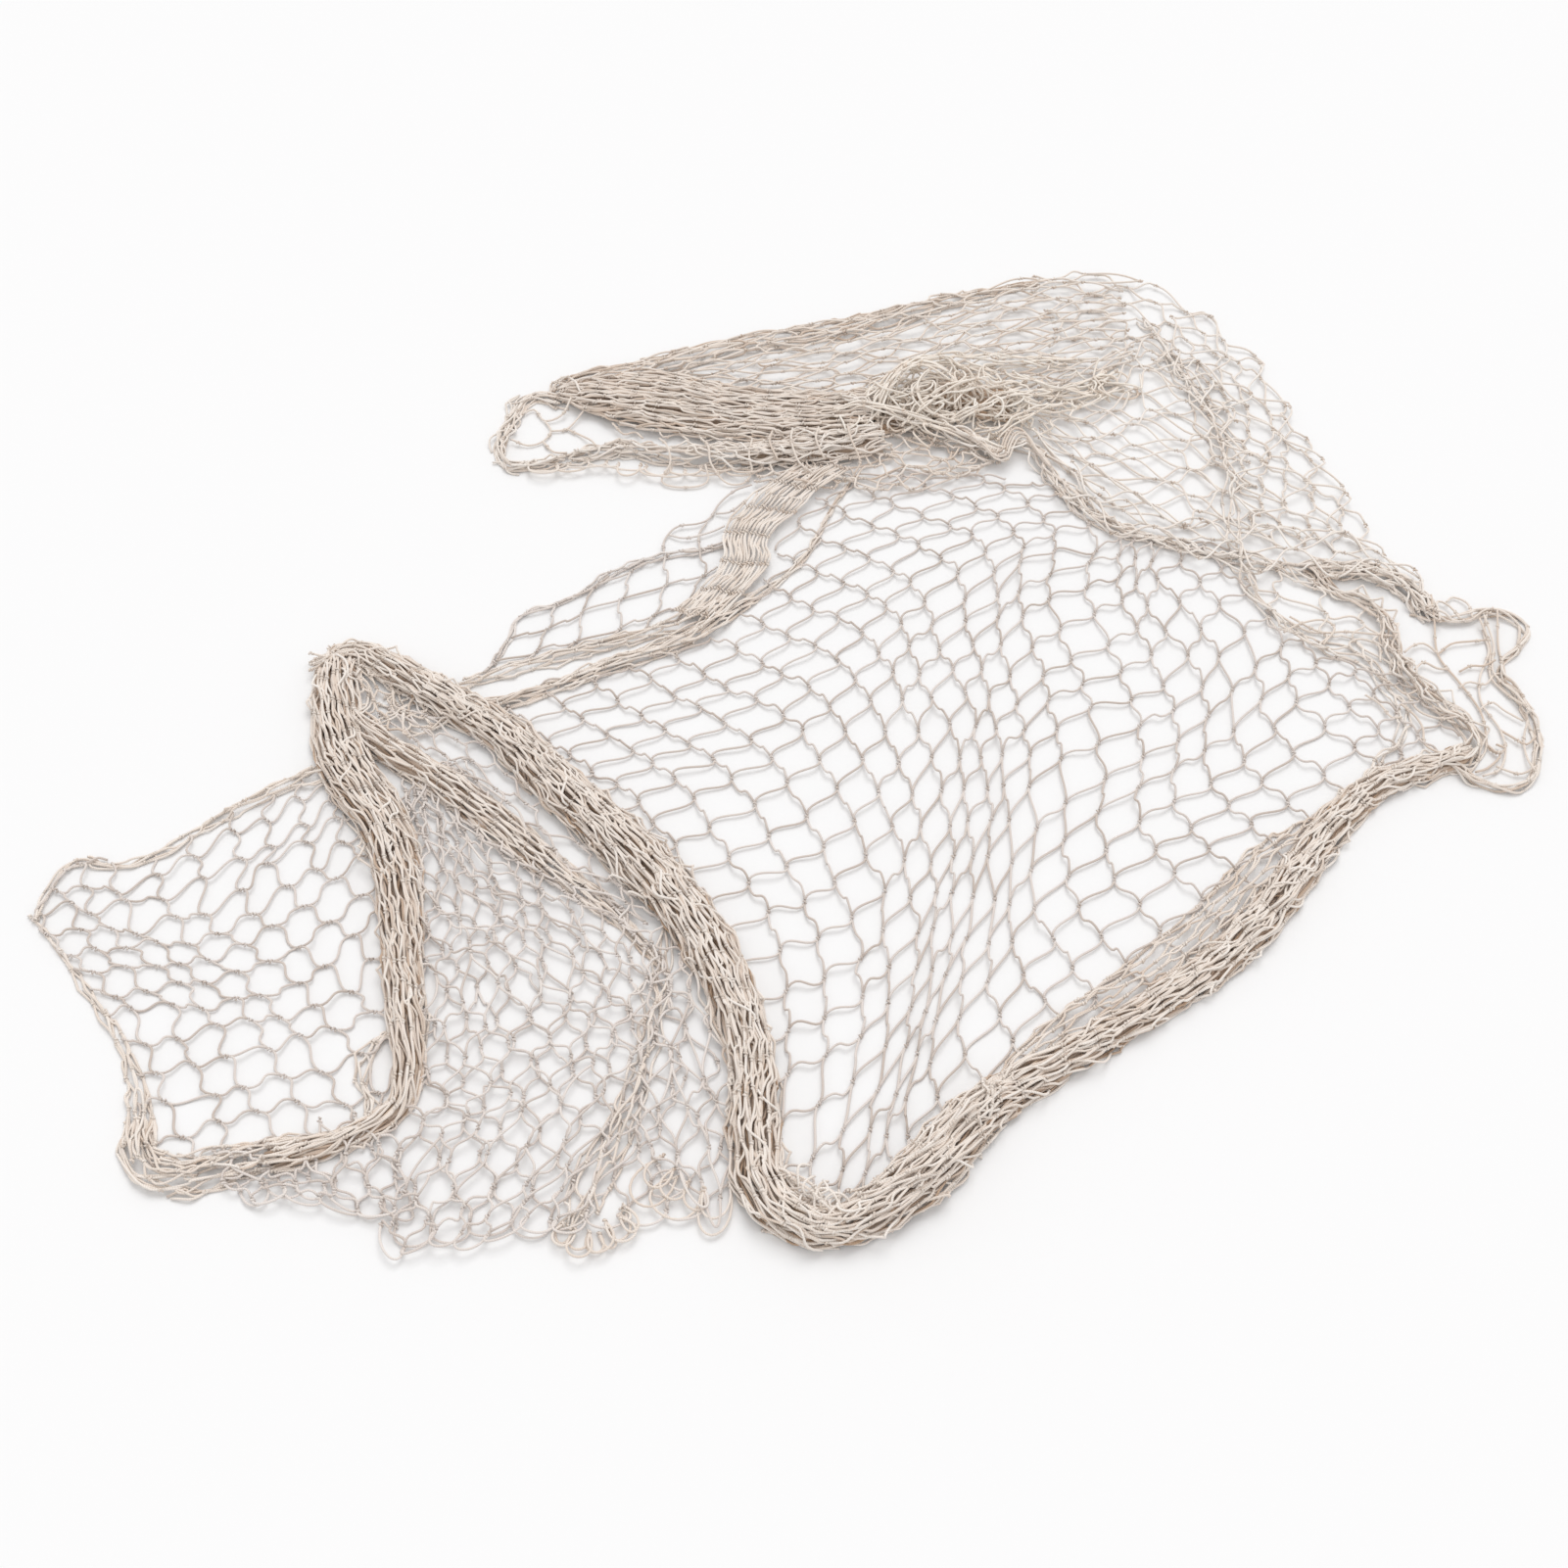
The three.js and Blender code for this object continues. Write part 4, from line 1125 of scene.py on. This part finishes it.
TIP_STRANDS = [
    # runs of x, y and height
    [(457, 134, 3), (452, 118, 1), (452, 102, 1), (442, 81, 1), (439, 61, 1), (446, 41, 1), (446, 24, 2),
     (440, 10, 1), (428, 4, 2)],
    [(463, 134, 5), (459, 106, 1), (459, 89, 1), (457, 76, 2)],
    [(422, 146, 6), (421, 127, 4), (419, 100, 1), (428, 78, 1), (436, 58, 1), (437, 44, 2), (436, 26, 1),
     (442, 20, 2), (433, 11, 1), (424, 7, 2)],
    [(427, 73, 1), (434, 77, 2), (444, 75, 2), (452, 84, 1), (457, 83, 2)],
    [(419, 100, 1), (429, 108, 2), (441, 110, 2), (452, 112, 1)],
    [(436, 55, 1), (445, 61, 2), (452, 54, 2), (462, 46, 2)],
    [(438, 127, 4), (434, 138, 3), (428, 144, 2), (424, 138, 4)],
    [(446, 128, 4), (446, 142, 2), (438, 148, 1), (432, 142, 3)],
    [(396, 98, 6), (404, 106, 3), (412, 108, 2), (420, 100, 1)],
    [(400, 84, 6), (408, 92, 3), (416, 88, 2), (424, 88, 1)],
    [(446, 40, 1), (454, 32, 2), (460, 28, 2), (467, 34, 2)],
    [(441, 28, 2), (446, 24, 3), (440, 21, 3), (436, 27, 2)],
    [(450, 127, 5), (454, 107, 1), (451, 94, 1), (449, 82, 1), (453, 73, 1), (459, 64, 2), (465, 54, 6)],
    [(453, 129, 6), (456, 108, 2), (453, 96, 2), (451, 85, 2), (455, 75, 3), (461, 66, 4), (466, 50, 6)],
    [(430, 86, 1), (438, 90, 2), (446, 90, 2), (454, 94, 3)],
    [(463, 44, 6), (459, 32, 2), (458, 18, 2), (459, 5, 6)],
    [(438, 12, 1), (446, 7, 2), (453, 6, 2), (461, 9, 6)],
]
BACK_FOLD = [
    # x, y, width, height
    (262, 412, 8, 7), (276, 378, 9, 7), (288, 342, 9, 8), (298, 306, 10, 9), (302, 270, 10, 9),
    (303, 222, 12, 10), (300, 180, 10, 10), (308, 152, 10, 9), (322, 124, 10, 8), (346, 106, 9, 7),
    (367, 98, 8, 6), (377, 79, 7, 5), (387, 58, 7, 5), (390, 44, 7, 5), (380, 30, 7, 5), (364, 14, 7, 6),
    (354, -6, 7, 6),
]
SIDE_STRANDS = [
    # runs of x, y and height
    [(377, 79, 5), (386, 74, 2), (393, 67, 2), (402, 70, 6)],
    [(387, 58, 4), (395, 50, 2), (398, 40, 2), (397, 28, 2), (404, 18, 6)],
    [(386, 48, 4), (380, 49, 2), (374, 60, 2), (366, 66, 3)],
    [(393, 67, 2), (398, 54, 2), (410, 48, 2), (420, 46, 7)],
    [(350, 176, 6), (358, 152, 3), (372, 142, 3), (384, 128, 5)],
    [(330, 178, 6), (340, 160, 2), (356, 152, 2), (366, 148, 5)],
    [(364, 100, 5), (363, 108, 3), (372, 112, 2), (382, 106, 2), (380, 92, 4)],
    [(322, 116, 4), (334, 124, 3), (349, 128, 2), (356, 121, 2), (346, 106, 4)],
    [(328, 130, 3), (346, 118, 2), (364, 118, 2), (392, 112, 5)],
]
# Painted light: these folds too are given pale tones, to offset the shade of the layers round them.
fold(right, TANGLE_FRONT[:4], layers=2, wild=0.4, pitch=2.0, tone=(0.6, 1.0))
fold(right, TANGLE_FRONT[3:], layers=1, wild=0.9, pitch=2.3)
fold(right, TANGLE_FRONT[-5:], layers=2, wild=1.2, pitch=2.1, tone=(0.5, 1.0))
fold(right, BACK_FOLD, layers=1, wild=1.0, pitch=3.0, tone=(0.5, 1.0))
fold(right, TIP_RING, layers=2, wild=0.5, pitch=1.9)
single_strands(right, [np.array(GATHER_DIP) + [-1.3 * k, 2.3 * k, 1.2 * (k % 2)] for k in range(5)])
single_strands(right, TIP_STRANDS)
single_strands(right, SIDE_STRANDS)
stray_bars(right, TANGLE_FRONT, per_mm=0.12)
finish_piece(right, "netting_right", gathered_cotton)


# ------------------------------------------------------------
# The heap in front of the wing: the same cotton gathered into skeins of strands side by side, which arch
# over one another on a tangle of loose bars. It only lies there.
# A paler, warmer copy of the same cotton: painted light, to offset the shade the heap casts on itself.
bright_lit_cotton = cotton(
    "cotton_twine_heap_painted_light", (0.6, 0.4, 0.26, 1), (0.92, 0.78, 0.66, 1), (1.0, 0.93, 0.85, 1)
)
heap = Strands(27)
HEAP = [
    # x, y, width, height
    (36, 306, 30, 10), (66, 310, 40, 16), (98, 322, 52, 20), (128, 330, 50, 19), (162, 322, 46, 16),
    (200, 334, 36, 13), (236, 350, 24, 10),
]
SKEINS = [
    # runs of x, y, width and height of each skein's top
    [(66, 306, 10, 14), (76, 330, 11, 24), (96, 344, 12, 27), (116, 334, 12, 24), (120, 312, 10, 14)],
    [(58, 300, 9, 13), (70, 322, 10, 20), (86, 342, 11, 26), (108, 352, 12, 23), (132, 344, 11, 16),
     (138, 326, 9, 10)],
    [(84, 296, 9, 14), (100, 312, 11, 22), (124, 326, 12, 25), (150, 330, 11, 19), (176, 342, 10, 12)],
    [(56, 322, 9, 14), (84, 348, 10, 21), (110, 362, 11, 17), (140, 366, 10, 12), (180, 366, 9, 9),
     (210, 366, 8, 8)],
    [(112, 300, 9, 12), (134, 308, 10, 19), (158, 322, 10, 18), (184, 328, 10, 14), (212, 340, 9, 10),
     (236, 356, 8, 8)],
    [(150, 290, 9, 11), (166, 304, 9, 15), (188, 314, 9, 14), (208, 318, 9, 11), (232, 334, 8, 8)],
    [(36, 312, 10, 14), (58, 312, 10, 18), (80, 304, 10, 20), (104, 294, 10, 17), (128, 286, 9, 14),
     (152, 274, 9, 12)],
    [(100, 336, 9, 24), (92, 320, 9, 24), (102, 306, 9, 19), (122, 304, 9, 15)],
    [(130, 352, 9, 15), (148, 342, 9, 18), (160, 326, 9, 17), (178, 318, 8, 12)],
    [(160, 352, 9, 11), (176, 338, 9, 15), (196, 330, 8, 14), (216, 330, 8, 10)],
]
HEAP_FOOT = [(100, 312, 22, 11), (128, 306, 30, 12), (154, 304, 30, 11), (178, 300, 24, 8)]
bed(heap, HEAP[:5], pitch=1.7, share=0.3, radius=0.85, tone=(0.0, 0.35))
tangle(heap, HEAP[:4], 110, curl=1.3)
tangle(heap, HEAP[2:5], 26, curl=1.3)
tangle(heap, HEAP[4:], 22)
tangle(heap, HEAP_FOOT, 34)
# Painted light: the skeins on top are given the palest tones.
for skein in SKEINS:
    fold(heap, skein, layers=1, pitch=1.9, wild=0.55, shoulder=0.6, tone=(0.7, 1.0))
finish_piece(heap, "netting_heap", bright_lit_cotton)


# ------------------------------------------------------------
# The pleated strip: cotton netting with its meshes fully closed, so that knots and bars lie in straight
# blocks, up to the foot of the wing.
strip = Strands(18)
PLEATS = [
    # x, y of the left side, x, y of the right side
    (-70, 134, -44, 124), (-52, 158, -22, 154), (-38, 182, -9, 179), (-40, 207, -8, 200),
    (-26, 228, 8, 220), (-8, 250, 26, 243), (10, 264, 44, 260),
]
long_meshes(strip, PLEATS, 26, wobble=0.3, thick=3.0, height=3.0, turn_by=0.12, slack=0.06, tone=(0.4, 0.85))
finish_piece(strip, "netting_pleats", gathered_cotton)


# ------------------------------------------------------------
# The studio: the plain pale floor that the net lies on, a soft light over it and the camera, which looks
# down at the lay-out's origin.
HALF_FLOOR = 4  # metres
floor_mesh = bpy.data.meshes.new("floor")
corners = [(HALF_FLOOR * x, HALF_FLOOR * y, 0) for x, y in ((-1, -1), (1, -1), (1, 1), (-1, 1))]
floor_mesh.from_pydata(corners, [], [(0, 1, 2, 3)])
floor = bpy.data.objects.new("floor", floor_mesh)
bpy.context.scene.collection.objects.link(floor)
paper = bpy.data.materials.new("paper")
paper.use_nodes = True
matt_white = {"Base Color": (0.88, 0.88, 0.885, 1), "Roughness": 0.9, "Specular IOR Level": 0.1}
feed(paper.node_tree, paper.node_tree.nodes["Principled BSDF"], matt_white)
floor_mesh.materials.append(paper)

world = bpy.data.worlds.new("studio")
bpy.context.scene.world = world
world.use_nodes = True
sky = world.node_tree
light = sky.nodes["Background"]
feed(sky, light, {"Color": (1.0, 0.995, 0.99, 1), "Strength": 0.79})
backdrop = add_node(sky, "Background", {"Color": (0.975, 0.975, 0.975, 1)})
camera_ray = add_node(sky, "LightPath").outputs["Is Camera Ray"]
either = {"Fac": camera_ray, 1: light.outputs["Background"], 2: backdrop.outputs["Background"]}
seen = add_node(sky, "MixShader", either)
feed(sky, sky.nodes["World Output"], {"Surface": seen.outputs["Shader"]})
sun = bpy.data.objects.new("key", bpy.data.lights.new("key", "SUN"))
sun.data.energy = 1.2
sun.data.angle = np.radians(40)
sun.rotation_euler = (np.radians(-32), np.radians(8), 0)
bpy.context.scene.collection.objects.link(sun)

DISTANCE = 1.2  # from the camera to the point it looks at, in metres
ELEVATION = 55  # degrees above the floor
camera = bpy.data.objects.new("camera", bpy.data.cameras.new("camera"))
camera.data.lens = 45
camera.data.sensor_width = 36
camera.data.clip_end = 20
tilt = np.radians(ELEVATION)
aim_x, aim_y = -MIDDLE[0] * MM, -MIDDLE[1] * MM
camera.location = (aim_x, aim_y - DISTANCE * np.cos(tilt), DISTANCE * np.sin(tilt))
camera.rotation_euler = (np.radians(90 - ELEVATION), 0, 0)
bpy.context.scene.collection.objects.link(camera)
bpy.context.scene.camera = camera
bpy.context.scene.view_settings.view_transform = "Standard"
